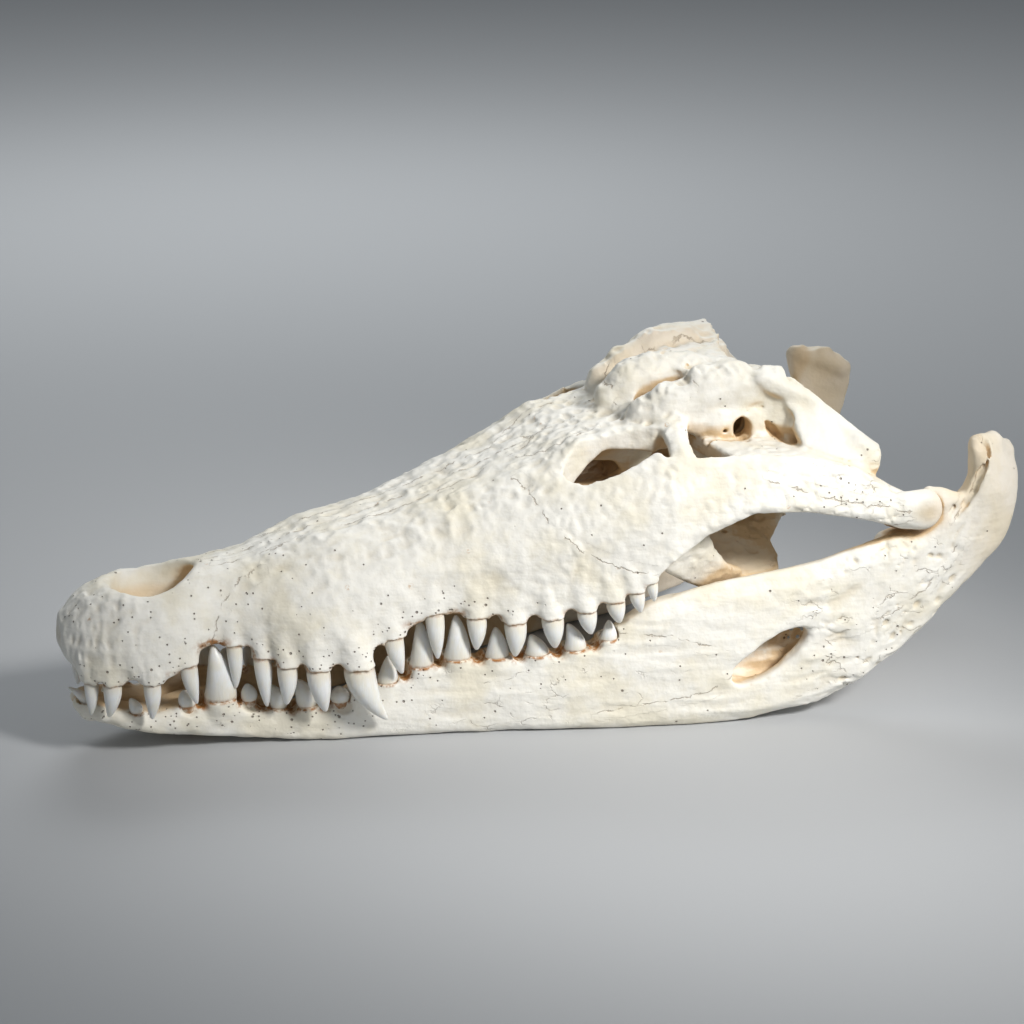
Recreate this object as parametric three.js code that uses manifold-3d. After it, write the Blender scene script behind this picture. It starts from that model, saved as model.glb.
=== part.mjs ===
// Saltwater crocodile skull with its lower jaw, life size, lying on its lower jaw with the teeth meshed.
// Millimetres, +Z up. +X runs from the snout to the back of the head and +Y to the animal's right.
// Every left-hand shape is written at y = -lateral, and its mirror image makes the right side.

import * as THREE from 'three';
import { mergeVertices } from 'three/addons/utils/BufferGeometryUtils.js';
import Module from 'manifold-3d';

const wasm = await Module();
wasm.setup();

// ---- driving dimensions -------------------------------------------------------------------------

const LENGTH = 600; // snout tip to the end of the retroarticular process
const FLAT_LEVEL = 0.8; // height at which the lower edges of the jaw are worn flat
const MIDLINE_GAP = 0.4; // between the two halves of the lower jaw at the symphysis
const BONE_GAP = 0.35; // left wherever the cranium would touch the lower jaw
const ORBIT_FRONT = 308;
const ORBIT_BACK = 377;
const WALL = 13; // thickness of the cheek wall beside the orbit
const DUCT_HALF_WIDTH = 24; // bony tube of the palate, between the suborbital openings
const DUCT_TOP = 124;
const FENESTRA_LENGTH = 58; // window in the side of the lower jaw
const FENESTRA_HEIGHT = 21;
const FENESTRA_DEPTH = 34; // reach of the window into the jaw
const FENESTRA_SLOPE = 0.6; // radians that it rises towards the back

// Smooth curve through a few [x, value] knots, flat beyond its ends and with no overshoot.
function profile(knots) {
  const last = knots.length - 1;
  const slope = (i) => (knots[i + 1][1] - knots[i][1]) / (knots[i + 1][0] - knots[i][0]);
  const tangent = (i) => {
    if (i === 0 || i === last || slope(i - 1) * slope(i) <= 0) {
      return 0;
    }
    return (2 * slope(i - 1) * slope(i)) / (slope(i - 1) + slope(i));
  };
  return (x) => {
    if (x <= knots[0][0]) {
      return knots[0][1];
    }
    if (x >= knots[last][0]) {
      return knots[last][1];
    }
    const i = knots.findIndex((knot) => knot[0] > x) - 1;
    const run = knots[i + 1][0] - knots[i][0];
    const t = (x - knots[i][0]) / run;
    const rise = (2 * t - 3) * t * t;
    return (
      knots[i][1] * (1 + rise) -
      knots[i + 1][1] * rise +
      tangent(i) * run * t * (1 - t) * (1 - t) -
      tangent(i + 1) * run * t * t * (1 - t)
    );
  };
}

// Upper jaw, all by distance from the snout tip.
const upperHalfWidth = profile([
  [0, 8], [2, 14], [6, 20], [12, 27], [25, 36], [45, 42], [64, 43], [80, 39], [91, 36], [101, 38],
  [116, 45], [136, 57], [156, 65], [172, 67.5], [192, 66], [212, 66], [235, 70], [260, 77], [290, 87],
  [320, 97], [350, 106], [370, 110], [384, 109],
]);
const alveolarRim = profile([
  [0, 67], [8, 63], [15, 55], [27, 53], [38, 60], [50, 53], [70, 61], [84, 72], [98, 72], [112, 62],
  [140, 56], [168, 54], [183, 61], [200, 74], [214, 83], [234, 88], [254, 78], [290, 80], [320, 86],
  [345, 98], [367, 119], [390, 131],
]);
const crown = profile([
  [0, 77], [2, 85], [6, 92], [13, 99], [25, 106], [40, 111], [66, 114], [95, 115], [125, 118], [150, 125],
  [181, 131], [221, 141], [255, 151], [290, 163], [320, 175], [350, 184], [384, 190],
]);
const palate = profile([
  [0, 70], [30, 66], [70, 70], [90, 80], [110, 76], [140, 68], [175, 70], [205, 90], [240, 98], [300, 99],
  [390, 104],
]);

// Lower jaw, all by distance from the snout tip.
const lowerHalfWidth = profile([
  [6, 8], [10, 14], [18, 20], [32, 27], [60, 32], [80, 34], [110, 37], [140, 44], [180, 54], [230, 65],
  [275, 78], [320, 91], [384, 108], [450, 121], [500, 130], [540, 131],
]);
const dorsalEdge = profile([
  [6, 34], [12, 35], [30, 32], [50, 27], [66, 32], [84, 37], [100, 36], [118, 30], [135, 25], [163, 26],
  [178, 39], [196, 41], [208, 51], [225, 56], [262, 56], [290, 57], [312, 61], [332, 68], [350, 83],
  [372, 90], [400, 98], [431, 102], [460, 107], [500, 119],
]);
const ventralEdge = profile([
  [6, 31], [14, 26], [30, 21], [45, 16], [60, 12], [80, 8.5], [105, 5], [140, 1.5], [170, 0], [400, 0],
  [430, 4], [460, 10],
]);
const jawThickness = profile([
  [6, 22], [70, 34], [100, 26], [150, 24], [220, 24], [300, 23], [380, 25], [450, 26], [500, 24],
]);

// ---- closed meshes ------------------------------------------------------------------------------

const signedPower = (value, power) => Math.sign(value) * Math.abs(value) ** power;
const left = (x, lateral, z) => new THREE.Vector3(x, -lateral, z);

function closedMesh(points, faces) {
  const geometry = new THREE.BufferGeometry();
  const positions = points.flatMap((point) => point.toArray());
  geometry.setAttribute('position', new THREE.Float32BufferAttribute(positions, 3));
  geometry.setIndex(faces.flat());
  return geometry;
}

// Skin over a row of rings with equal numbers of points, closed by a fan at each end.
function loft(rings) {
  const count = rings[0].length;
  const points = rings.flat();
  const faces = [];
  for (let ring = 0; ring < rings.length - 1; ring += 1) {
    for (let k = 0; k < count; k += 1) {
      const a = ring * count + k;
      const b = ring * count + ((k + 1) % count);
      faces.push([a, b, a + count], [b, b + count, a + count]);
    }
  }
  for (const ring of [0, rings.length - 1]) {
    const middle = new THREE.Vector3();
    rings[ring].forEach((point) => middle.addScaledVector(point, 1 / count));
    const hub = points.push(middle) - 1;
    for (let k = 0; k < count; k += 1) {
      const a = ring * count + k;
      const b = ring * count + ((k + 1) % count);
      faces.push(ring === 0 ? [b, a, hub] : [a, b, hub]);
    }
  }
  return closedMesh(points, faces);
}

// Flat bone that runs through stations {from, to, thick}: its section is a rounded bar between two edges.
function blade(stations, sides = 8, squareness = 0.62) {
  const middles = stations.map(({ from, to }) => from.clone().add(to).multiplyScalar(0.5));
  const rings = stations.map(({ from, to, thick }, i) => {
    const before = middles[Math.max(i - 1, 0)];
    const after = middles[Math.min(i + 1, middles.length - 1)];
    const across = to.clone().sub(from).multiplyScalar(0.5);
    const normal = after.clone().sub(before).cross(across).normalize().multiplyScalar(thick / 2);
    const ring = [];
    for (let k = 0; k < sides; k += 1) {
      const angle = (2 * Math.PI * k) / sides;
      ring.push(
        middles[i]
          .clone()
          .addScaledVector(across, signedPower(Math.cos(angle), squareness))
          .addScaledVector(normal, signedPower(Math.sin(angle), squareness)),
      );
    }
    return ring;
  });
  return loft(rings);
}

// Rod through {at, radius} stations.
function rod(stations, sides = 6) {
  return blade(
    stations.map(({ at, radius, wide = radius }) => ({
      from: at.clone().add(new THREE.Vector3(0, 0, -radius)),
      to: at.clone().add(new THREE.Vector3(0, 0, radius)),
      thick: 2 * wide,
    })),
    sides,
    1,
  );
}

function lump(at, radii, columns = 8, rows = 4) {
  const geometry = new THREE.SphereGeometry(1, columns, rows);
  geometry.scale(radii[0], radii[1], radii[2]);
  geometry.translate(at.x, at.y, at.z);
  return geometry;
}

const extruded = (shape, depth) =>
  new THREE.ExtrudeGeometry(shape, { depth, bevelEnabled: false, curveSegments: 8 });

// Straight-sided plug with an oval outline seen from above.
function ovalPlug(at, radiusX, radiusY, low, high, turn = 0) {
  const shape = new THREE.Shape();
  shape.absellipse(0, 0, radiusX, radiusY, 0, 2 * Math.PI, false, turn);
  const geometry = extruded(shape, high - low);
  geometry.translate(at.x, at.y, low);
  return geometry;
}

function mirrored(geometry) {
  const copy = geometry.clone();
  copy.scale(1, -1, 1);
  const index = copy.getIndex();
  if (index) {
    for (let i = 0; i < index.count; i += 3) {
      const first = index.getX(i);
      index.setX(i, index.getX(i + 1));
      index.setX(i + 1, first);
    }
    return copy;
  }
  const position = copy.getAttribute('position');
  const corner = new THREE.Vector3();
  const other = new THREE.Vector3();
  for (let i = 0; i < position.count; i += 3) {
    corner.fromBufferAttribute(position, i);
    other.fromBufferAttribute(position, i + 1);
    position.setXYZ(i, other.x, other.y, other.z);
    position.setXYZ(i + 1, corner.x, corner.y, corner.z);
  }
  return copy;
}

// ---- solids -------------------------------------------------------------------------------------

function solid(geometry) {
  const plain = geometry.clone();
  plain.deleteAttribute('normal');
  plain.deleteAttribute('uv');
  const merged = mergeVertices(plain, 1e-3);
  const vertProperties = new Float32Array(merged.getAttribute('position').array);
  let triVerts = new Uint32Array(merged.getIndex().array);
  triVerts = dropThin(triVerts);
  if (signedVolume(vertProperties, triVerts) < 0) {
    for (let i = 0; i < triVerts.length; i += 3) {
      [triVerts[i], triVerts[i + 1]] = [triVerts[i + 1], triVerts[i]];
    }
  }
  return new wasm.Manifold(new wasm.Mesh({ numProp: 3, vertProperties, triVerts }));
}

// Leaves out triangles that lost a corner when vertices were merged.
function dropThin(triVerts) {
  const kept = [];
  for (let i = 0; i < triVerts.length; i += 3) {
    const [a, b, c] = triVerts.slice(i, i + 3);
    if (a !== b && b !== c && c !== a) {
      kept.push(a, b, c);
    }
  }
  return new Uint32Array(kept);
}

function signedVolume(positions, triangles) {
  const corners = [new THREE.Vector3(), new THREE.Vector3(), new THREE.Vector3()];
  let volume = 0;
  for (let i = 0; i < triangles.length; i += 3) {
    corners.forEach((corner, k) => corner.fromArray(positions, 3 * triangles[i + k]));
    volume += corners[0].dot(corners[1].clone().cross(corners[2])) / 6;
  }
  return volume;
}

const joined = (geometries) => geometries.map(solid).reduce((whole, piece) => whole.add(piece));
const bothSides = (geometries) => geometries.flatMap((geometry) => [geometry, mirrored(geometry)]);

function meshOf(name, manifold, material) {
  const { vertProperties, triVerts, numProp } = manifold.getMesh();
  const geometry = new THREE.BufferGeometry();
  const positions = new Float32Array((vertProperties.length / numProp) * 3);
  for (let i = 0; i < positions.length / 3; i += 1) {
    positions.set(vertProperties.slice(i * numProp, i * numProp + 3), 3 * i);
  }
  geometry.setAttribute('position', new THREE.BufferAttribute(positions, 3));
  geometry.setIndex(new THREE.BufferAttribute(new Uint32Array(triVerts), 1));
  geometry.computeVertexNormals();
  const mesh = new THREE.Mesh(geometry, material);
  mesh.name = name;
  return mesh;
}

// ---- teeth --------------------------------------------------------------------------------------

// Each tooth is {x, lateral, z} at its collar, then how far its tip lies behind it and away from it, and its
// width. The upper ones hang down and the lower ones stand up.
const UPPER_TEETH = [
  { x: 15.3, lateral: 25, z: 54, lean: -1, reach: 22, width: 9 },
  { x: 27, lateral: 32, z: 53, lean: -3, reach: 22, width: 12 },
  { x: 50, lateral: 38, z: 53, lean: -1, reach: 25, width: 12.5 },
  { x: 73, lateral: 37, z: 61, lean: 4, reach: 26, width: 11 },
  { x: 102, lateral: 35.5, z: 70, lean: 0, reach: 29, width: 9.5 },
  { x: 117.5, lateral: 42.5, z: 62, lean: 2, reach: 33, width: 11 },
  { x: 131, lateral: 50.5, z: 58, lean: -1, reach: 26, width: 12.5 },
  { x: 148.5, lateral: 58, z: 56, lean: 4, reach: 29, width: 14.5 },
  { x: 173, lateral: 63, z: 56, lean: 17, reach: 38, width: 19 },
  { x: 196, lateral: 62, z: 72, lean: 5, reach: 25, width: 12 },
  { x: 222, lateral: 63, z: 85, lean: 2, reach: 31, width: 12 },
  { x: 247.5, lateral: 69, z: 81, lean: 0, reach: 22, width: 12.5 },
  { x: 270.5, lateral: 76, z: 77, lean: 0, reach: 23, width: 14 },
  { x: 292.5, lateral: 83, z: 80, lean: 2, reach: 21, width: 14 },
  { x: 312.5, lateral: 90, z: 84, lean: 3, reach: 16, width: 12.5 },
  { x: 329.5, lateral: 95, z: 90, lean: 3, reach: 15, width: 12 },
  { x: 342, lateral: 99, z: 96, lean: 3, reach: 14, width: 10 },
  { x: 351, lateral: 101.5, z: 102, lean: 2, reach: 13, width: 7.5 },
];
const LOWER_TEETH = [
  { x: 16, lateral: 8, z: 30, lean: -12, reach: 15, width: 9 },
  { x: 42, lateral: 24, z: 29, lean: -3, reach: 10, width: 8 },
  { x: 73, lateral: 28, z: 31, lean: -2, reach: 10, width: 11 },
  { x: 93.5, lateral: 29.5, z: 34, lean: -3.5, reach: 35, width: 20 },
  { x: 111, lateral: 31, z: 30, lean: -1, reach: 11, width: 10 },
  { x: 129, lateral: 34, z: 24, lean: -4, reach: 15, width: 11.5 },
  { x: 146, lateral: 38, z: 24, lean: -5, reach: 18, width: 13.5 },
  { x: 166, lateral: 43, z: 26, lean: -1, reach: 10, width: 12 },
  { x: 195, lateral: 50, z: 38, lean: 1, reach: 17, width: 13.5 },
  { x: 216, lateral: 54, z: 48, lean: -1, reach: 30, width: 15.5 },
  { x: 238, lateral: 59.5, z: 52, lean: -1, reach: 28, width: 17.5 },
  { x: 262, lateral: 66, z: 52, lean: -1, reach: 19, width: 15.5 },
  { x: 286, lateral: 73, z: 53, lean: -4, reach: 13, width: 15.5 },
  { x: 309, lateral: 80, z: 56, lean: -5, reach: 17, width: 14.5 },
  { x: 329, lateral: 86, z: 62, lean: 0, reach: 12, width: 11.5 },
];
const TOOTH_SIDES = 5;
const TOOTH_ROOT = 5; // depth of a tooth inside its socket
const TOOTH_PROFILE = [[0.55, 0.78], [0.98, 0.14]]; // height and width, as parts of a whole

function tooth({ x, lateral, z, lean, reach, width }, way) {
  const bow = 0.07 * reach; // the crown bulges outwards between its collar and its tip
  const ring = (height, size, lift) => {
    const points = [];
    for (let k = 0; k < TOOTH_SIDES; k += 1) {
      const angle = (2 * Math.PI * k) / TOOTH_SIDES;
      points.push(
        left(
          x + lean * height * height + (size * width * Math.cos(angle)) / 2,
          lateral + bow * Math.sin(Math.PI * height) - 0.5 * lift + 0.44 * size * width * Math.sin(angle),
          z + way * (reach * height - lift),
        ),
      );
    }
    return points;
  };
  return loft([ring(0, 1, TOOTH_ROOT), ...TOOTH_PROFILE.map(([height, size]) => ring(height, size, 0))]);
}

// ---- cranium ------------------------------------------------------------------------------------

const TOP_STEPS = 10;
const UNDERSIDE = [0.94, 0.72, 0.5, -0.5, -0.72, -0.94];
const FACE_END = 384;
const EVEN_STEPS = 13; // steps of equal length behind the notch

// Low swellings of the snout and face: {x, lateral, along, across, high}.
const SWELLINGS = [
  { x: 157, lateral: 20, along: 13, across: 11, high: 7 }, // boss on the snout
  { x: 187, lateral: 23, along: 15, across: 10, high: 4 },
  { x: 270, lateral: 34, along: 42, across: 12, high: 4 }, // ridge that leads to the orbit
  { x: 326, lateral: 46, along: 19, across: 10, high: 8 }, // brow in front of the orbit
  { x: 360, lateral: 39, along: 24, across: 8, high: 6 }, // rim above the orbit
];
const swelling = (x, y) =>
  SWELLINGS.reduce((total, { x: middle, lateral, along, across, high }) => {
    const away = ((x - middle) / along) ** 2 + ((Math.abs(y) - lateral) / across) ** 2;
    return total + high * Math.exp(-away);
  }, 0);

// One section of the snout and face: rounded over the top, with the palate between two alveolar rims below.
function faceSection(x) {
  const half = upperHalfWidth(x);
  const rim = alveolarRim(x);
  const top = crown(x);
  const backness = THREE.MathUtils.smoothstep(x, 150, 320);
  const sideSquareness = 0.82 - 0.22 * backness;
  const topSquareness = 0.78 - 0.26 * backness;
  const points = [];
  for (let k = 0; k <= TOP_STEPS; k += 1) {
    const angle = (Math.PI * k) / TOP_STEPS;
    const y = -half * signedPower(Math.cos(angle), sideSquareness);
    const lift = Math.max(0, Math.sin(angle));
    const height = rim + (top - rim) * lift ** topSquareness;
    points.push(new THREE.Vector3(x, y, height + swelling(x, y) * lift));
  }
  for (const across of UNDERSIDE) {
    const onRim = Math.abs(across) > 0.7;
    const height = onRim ? rim - 1.5 : Math.min(palate(x), top - 8);
    points.push(new THREE.Vector3(x, half * across, height));
  }
  return points;
}

function face() {
  const stations = [0, 2, 6, 12];
  for (let x = 20; x < 120; x += 10) {
    stations.push(x);
  }
  for (let step = 0; step <= EVEN_STEPS; step += 1) {
    stations.push(THREE.MathUtils.lerp(120, FACE_END, step / EVEN_STEPS));
  }
  return loft(stations.map(faceSection));
}

const naris = [
  lump(new THREE.Vector3(57, 0, 110), [26, 23, 30], 10, 6),
  lump(new THREE.Vector3(74, 0, 98), [26, 15, 15], 8, 5),
];

// The chamber behind and below the orbit, open to the palate beside the duct and to the temple behind.
function cheekChamber() {
  const stations = [286, 294, 308, 340, 402];
  return loft(
    stations.map((x) => {
      const start = THREE.MathUtils.smoothstep(x, 280, 306);
      const high = 112 + 53 * THREE.MathUtils.smoothstep(x, 276, 342);
      const outer = upperHalfWidth(x) - WALL;
      const middle = (outer + DUCT_HALF_WIDTH) / 2;
      const wide = (lateral) => middle + (lateral - middle) * (0.35 + 0.65 * start);
      return [
        left(x, wide(DUCT_HALF_WIDTH), 40),
        left(x, wide(outer), 40),
        left(x, wide(outer - 2), high - 30),
        left(x, wide(outer - 8), high - 8),
        left(x, wide(outer - 22), high),
        left(x, wide(DUCT_HALF_WIDTH + 14), high + 8),
        left(x, wide(DUCT_HALF_WIDTH), high - 8),
      ];
    }),
  );
}

const interorbitalWindow = () => lump(new THREE.Vector3(342, 0, 150), [28, 36, 13], 8, 4);

// Oval opening of the orbit, seen from above, with its long axis turned a little outwards towards the back.
function orbitOpening() {
  const middleX = (ORBIT_FRONT + ORBIT_BACK) / 2;
  return ovalPlug(left(middleX, 62.5, 0), (ORBIT_BACK - ORBIT_FRONT) / 2, 16.5, 140, 240, -0.1);
}

// Gap between the cheek and the roof behind the orbit, which the postorbital bar crosses.
const templeSlot = () => ovalPlug(left(386, 72, 0), 24, 21, 130, 240);

function jugalBar() {
  const knots = [
    // x, lower edge z, upper edge z, upper edge lateral, thickness
    [352, 107, 168, 94, 11],
    [370, 122, 176, 97, 11],
    [388, 131, 178, 100, 11],
    [414, 143, 178, 104, 10],
    [448, 142, 176, 110, 10],
    [486, 134, 165, 119, 12],
    [503, 129, 151, 126, 12],
    [512, 131, 141, 129, 8],
  ];
  const outerLateral = profile([
    [352, 106], [370, 111], [388, 115], [420, 122], [460, 129], [500, 134], [530, 136],
  ]);
  return blade(
    knots.map(([x, low, high, lateral, thick]) => ({
      from: left(x, outerLateral(x) - thick / 2, low),
      to: left(x, lateral - thick / 2, high),
      thick,
    })),
  );
}

// Broad plate of the quadrate, from under the skull table back to the jaw joint.
function quadratePlate() {
  const knots = [
    // x and lateral of the inner edge and its z, then of the outer edge and its z, thickness
    [400, 34, 170, 411, 98, 170, 10],
    [418, 36, 169, 430, 104, 169, 14],
    [448, 44, 166, 455, 111, 165, 19],
    [484, 62, 153, 488, 120, 153, 21],
    [508, 81, 137, 509, 127, 142, 19],
    [524, 90, 130, 525, 130, 136, 17],
  ];
  return blade(
    knots.map(([innerX, inner, innerZ, outerX, outer, outerZ, thick]) => ({
      from: left(innerX, inner, innerZ),
      to: left(outerX, outer, outerZ),
      thick,
    })),
    8,
  );
}

// Knuckle of the jaw joint: two rounded ends with a shallow waist.
const quadrateCondyle = (room = 0) => [
  lump(left(524, 123, 136), [14 + room, 12 + room, 11 + room], 8, 5),
  lump(left(521, 99, 128), [12 + room, 14 + room, 12 + room]),
];

const postorbitalBar = () =>
  rod([
    { at: left(386, 44, 190), radius: 9, wide: 15 },
    { at: left(383, 58, 184), radius: 6.5, wide: 10 },
    { at: left(380, 72, 179), radius: 5.5, wide: 8 },
    { at: left(377, 86, 174), radius: 6.5, wide: 9 },
    { at: left(376, 96, 167), radius: 8, wide: 12 },
  ]);

// Skull table: a flat-topped plate that rises towards the back and towards its two outer edges.
const tableHalfWidth = profile([[362, 40], [374, 51], [400, 55], [430, 60], [456, 64]]);
const tableEdgeZ = profile([[362, 190], [374, 196], [388, 202], [408, 210], [440, 221], [456, 222]]);
const tableMiddleZ = profile([[362, 188], [380, 202], [400, 210], [430, 212], [456, 211]]);
const TABLE_ROLL = 0.05; // the right side stands a little higher
const TABLE_THICKNESS = 13; // at the middle
const TABLE_EDGE_DEPTH = 11; // further depth of its outer edges

function skullTable() {
  const across = [-1, -0.9, -0.7, -0.35, 0.35, 0.7, 0.9, 1];
  const stations = [362, 374, 392, 414, 438, 458];
  return loft(
    stations.map((x) => {
      const half = tableHalfWidth(x);
      const height = (part) => tableMiddleZ(x) + (tableEdgeZ(x) - tableMiddleZ(x)) * Math.abs(part) ** 2.2;
      const edgeDepth = TABLE_EDGE_DEPTH * THREE.MathUtils.smoothstep(x, 372, 392);
      const place = (part, below, squeeze) => {
        const y = half * part * squeeze;
        return new THREE.Vector3(x, y, height(part) - below + TABLE_ROLL * y);
      };
      const upper = across.map((part) => place(part, Math.abs(part) === 1 ? 5 : 0, 1));
      const lower = [...across]
        .reverse()
        .map((part) => place(part, TABLE_THICKNESS + edgeDepth * Math.abs(part) ** 4, 0.96));
      return [...upper, ...lower];
    }),
  );
}

// Bay in the rear edge of the table between its two corners.
const tableBay = () => ovalPlug(new THREE.Vector3(472, 0, 0), 24, 46, 186, 240);

const temporalFenestra = () => ovalPlug(left(390, 19, 0), 18, 14.5, 150, 240, 0.15);

// Knobs on the table's rear corners, and swellings of its rim in front of them.
const tableKnob = () => lump(left(447, 57, 213), [14, 9, 7], 8, 4);
const rimSwelling = (side) =>
  lump(new THREE.Vector3(424, side * 44, 214 + side * TABLE_ROLL * 44), [22, 13, 9.5], 8, 4);

function braincase() {
  const knots = [
    // x, half width, low, high
    [390, 16, 128, 194],
    [404, 28, 118, 197],
    [425, 42, 112, 200],
    [446, 47, 112, 205],
    [462, 46, 116, 203],
    [474, 34, 122, 194],
  ];
  const sides = 10;
  return loft(
    knots.map(([x, half, low, high]) => {
      const ring = [];
      for (let k = 0; k < sides; k += 1) {
        const angle = (2 * Math.PI * k) / sides;
        ring.push(
          new THREE.Vector3(
            x,
            half * signedPower(Math.cos(angle), 0.75) * (0.85 + 0.15 * Math.sin(angle)),
            (low + high) / 2 + ((high - low) / 2) * signedPower(Math.sin(angle), 0.75),
          ),
        );
      }
      return ring;
    }),
  );
}

const occipitalCondyle = () => lump(new THREE.Vector3(478, 0, 151), [15, 12, 10]);
const basioccipitalPlate = () => lump(new THREE.Vector3(466, 0, 124), [11, 31, 21]);
const foramenMagnum = () => lump(new THREE.Vector3(476, 0, 174), [22, 10, 9]);

// Wing of the occiput that runs out and back from the braincase and ends in a blunt prong.
const paroccipitalWing = () =>
  blade([
    { from: left(462, 20, 166), to: left(458, 24, 204), thick: 16 },
    { from: left(478, 52, 158), to: left(463, 60, 211), thick: 13 },
    { from: left(488, 68, 156), to: left(478, 72, 196), thick: 12 },
    { from: left(504, 88, 155), to: left(504, 88, 176), thick: 12 },
    { from: left(508, 92, 159), to: left(511, 93, 172), thick: 8 },
  ]);

// Outer edge of the squamosal, from the table's corner down to the prong.
const squamosalCrest = () =>
  rod([
    { at: left(444, 58, 211), radius: 8, wide: 7 },
    { at: left(470, 70, 199), radius: 7.5, wide: 6 },
    { at: left(491, 82, 181), radius: 7, wide: 6 },
    { at: left(505, 90, 169), radius: 7, wide: 6.5 },
  ]);

// Wall of the squamosal and the paroccipital prong, which closes the ear hollow behind.
const earWall = () =>
  blade([
    { from: left(454, 58, 204), to: left(458, 90, 172), thick: 10 },
    { from: left(472, 70, 197), to: left(474, 99, 165), thick: 12 },
    { from: left(490, 81, 181), to: left(491, 104, 159), thick: 12 },
    { from: left(505, 90, 171), to: left(506, 102, 156), thick: 10 },
  ]);

// Ear hollow under the table's edge.
const earHollow = () => [
  lump(left(419, 66, 182), [20, 18, 6.5], 8, 5),
  lump(left(443, 66, 188), [20, 20, 10], 8, 5),
];
const earPit = () => lump(left(437, 46, 184), [9, 12, 8], 8, 5);

const palateDuct = () =>
  loft(
    [260, 300, 345, 400, 450, 474].map((x) => {
      const half = DUCT_HALF_WIDTH * profile([[260, 0.9], [330, 0.8], [390, 1], [450, 1.25], [474, 1]])(x);
      const low = profile([[260, 96], [330, 99], [420, 100], [474, 104]])(x);
      const high = profile([[260, 118], [330, DUCT_TOP], [474, DUCT_TOP + 4]])(x);
      const ring = [];
      for (let k = 0; k < 8; k += 1) {
        const angle = (2 * Math.PI * k) / 8;
        const rise = signedPower(Math.sin(angle), 0.7);
        const across = signedPower(Math.cos(angle), 0.7);
        ring.push(new THREE.Vector3(x, half * across, (low + high) / 2 + ((high - low) / 2) * rise));
      }
      return ring;
    }),
  );

// Pterygoid wing: a plate that drops outwards from the palate to a thick rough flange.
const pterygoidWing = () =>
  blade(
    [
      { from: left(398, 10, 110), to: left(482, 10, 111), thick: 13 },
      { from: left(398, 26, 107), to: left(481, 26, 111), thick: 9 },
      { from: left(400, 41, 103), to: left(473, 40, 108), thick: 7 },
      { from: left(401, 50, 98), to: left(460, 50, 98), thick: 8 },
      { from: left(404, 68, 87), to: left(457, 68, 86), thick: 10 },
      { from: left(408, 75, 83), to: left(455, 74, 83), thick: 9 },
    ],
    8,
    0.8,
  );

// Strut from the cheek wall down to the flange.
const ectopterygoid = () =>
  blade(
    [
      { from: left(342, 92, 116), to: left(388, 93, 148), thick: 9 },
      { from: left(358, 87, 106), to: left(394, 88, 132), thick: 9 },
      { from: left(376, 81, 94), to: left(402, 83, 113), thick: 9 },
      { from: left(394, 76, 84), to: left(414, 78, 99), thick: 9 },
      { from: left(412, 73, 82), to: left(428, 74, 92), thick: 7 },
    ],
    8,
  );

function cranium() {
  const hollows = [
    ...naris,
    ...bothSides([cheekChamber(), orbitOpening(), templeSlot()]),
    interorbitalWindow(),
  ];
  const shell = solid(face()).subtract(joined(hollows));
  const rear = joined([
    skullTable(),
    rimSwelling(-1),
    rimSwelling(1),
    braincase(),
    ...bothSides([tableKnob(), jugalBar(), quadratePlate(), squamosalCrest()]),
    ...bothSides([paroccipitalWing(), earWall(), ...quadrateCondyle()]),
  ]).subtract(joined([tableBay(), ...bothSides([temporalFenestra(), ...earHollow(), earPit()])]));
  const details = joined([
    occipitalCondyle(),
    basioccipitalPlate(),
    palateDuct(),
    ...bothSides([postorbitalBar(), pterygoidWing(), ectopterygoid()]),
    ...bothSides(UPPER_TEETH.map((one) => tooth(one, -1))),
  ]);
  return shell.add(rear).add(details).subtract(solid(foramenMagnum()));
}

// ---- lower jaw ----------------------------------------------------------------------------------

const JAW_SIDES = 9;

// One section of the jaw's branch.
function jawSection(x) {
  const low = ventralEdge(x);
  const high = dorsalEdge(x);
  const outer = lowerHalfWidth(x);
  const inner = Math.max(x < 92 ? -4 : 0, outer - jawThickness(x));
  return jawRing(left(x, (outer + inner) / 2, low), left(x, (outer + inner) / 2, high), outer - inner);
}

// Rounded box of JAW_SIDES points between a lower and an upper edge, fuller along its lower edge.
function jawRing(lower, upper, thick) {
  const ring = [];
  for (let k = 0; k < JAW_SIDES; k += 1) {
    const angle = (2 * Math.PI * k) / JAW_SIDES;
    const squareness = Math.sin(angle) < 0 ? 0.45 : 0.62;
    const across = (thick / 2) * signedPower(Math.cos(angle), squareness);
    const rise = signedPower(Math.sin(angle), squareness);
    const point = lower.clone().lerp(upper, (1 + rise) / 2);
    point.y -= across;
    ring.push(point);
  }
  return ring;
}

// The branch behind the last tooth bends up into the retroarticular process.
const JAW_REAR = [
  // lower edge x, lateral, z, then upper edge x, lateral, z, then thickness
  [464, 110, 10, 460, 110, 107, 26],
  [488, 114, 20, 484, 114, 114, 25],
  [510, 117, 38, 508, 117, 120, 25],
  [529, 118, 54, 528, 119, 122, 26],
  [548, 117, 71, 541, 120, 137, 26],
  [566, 116, 86, 552, 121, 141, 25],
  [580, 117, 98, 557, 122, 147, 23],
  [591, 117, 113, 559, 124, 156, 21],
  [597, 115, 132, 557, 126, 166, 19],
  [600, 111, 150, 555, 127, 175, 17],
  [598, 106, 166, 558, 123, 182, 14],
];

function jawBranch() {
  const stations = [6, 9, 14, 22, 34, 48, 66, 84, 100, 118, 135];
  for (let x = 163; x < 240; x += 15) {
    stations.push(x);
  }
  for (let x = 244; x < 460; x += 22) {
    stations.push(x);
  }
  const front = stations.map(jawSection);
  const rear = JAW_REAR.map(([lowX, lowLateral, lowZ, highX, highLateral, highZ, thick]) =>
    jawRing(left(lowX, lowLateral, lowZ), left(highX, highLateral, highZ), thick),
  );
  return loft([...front, ...rear]);
}

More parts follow.
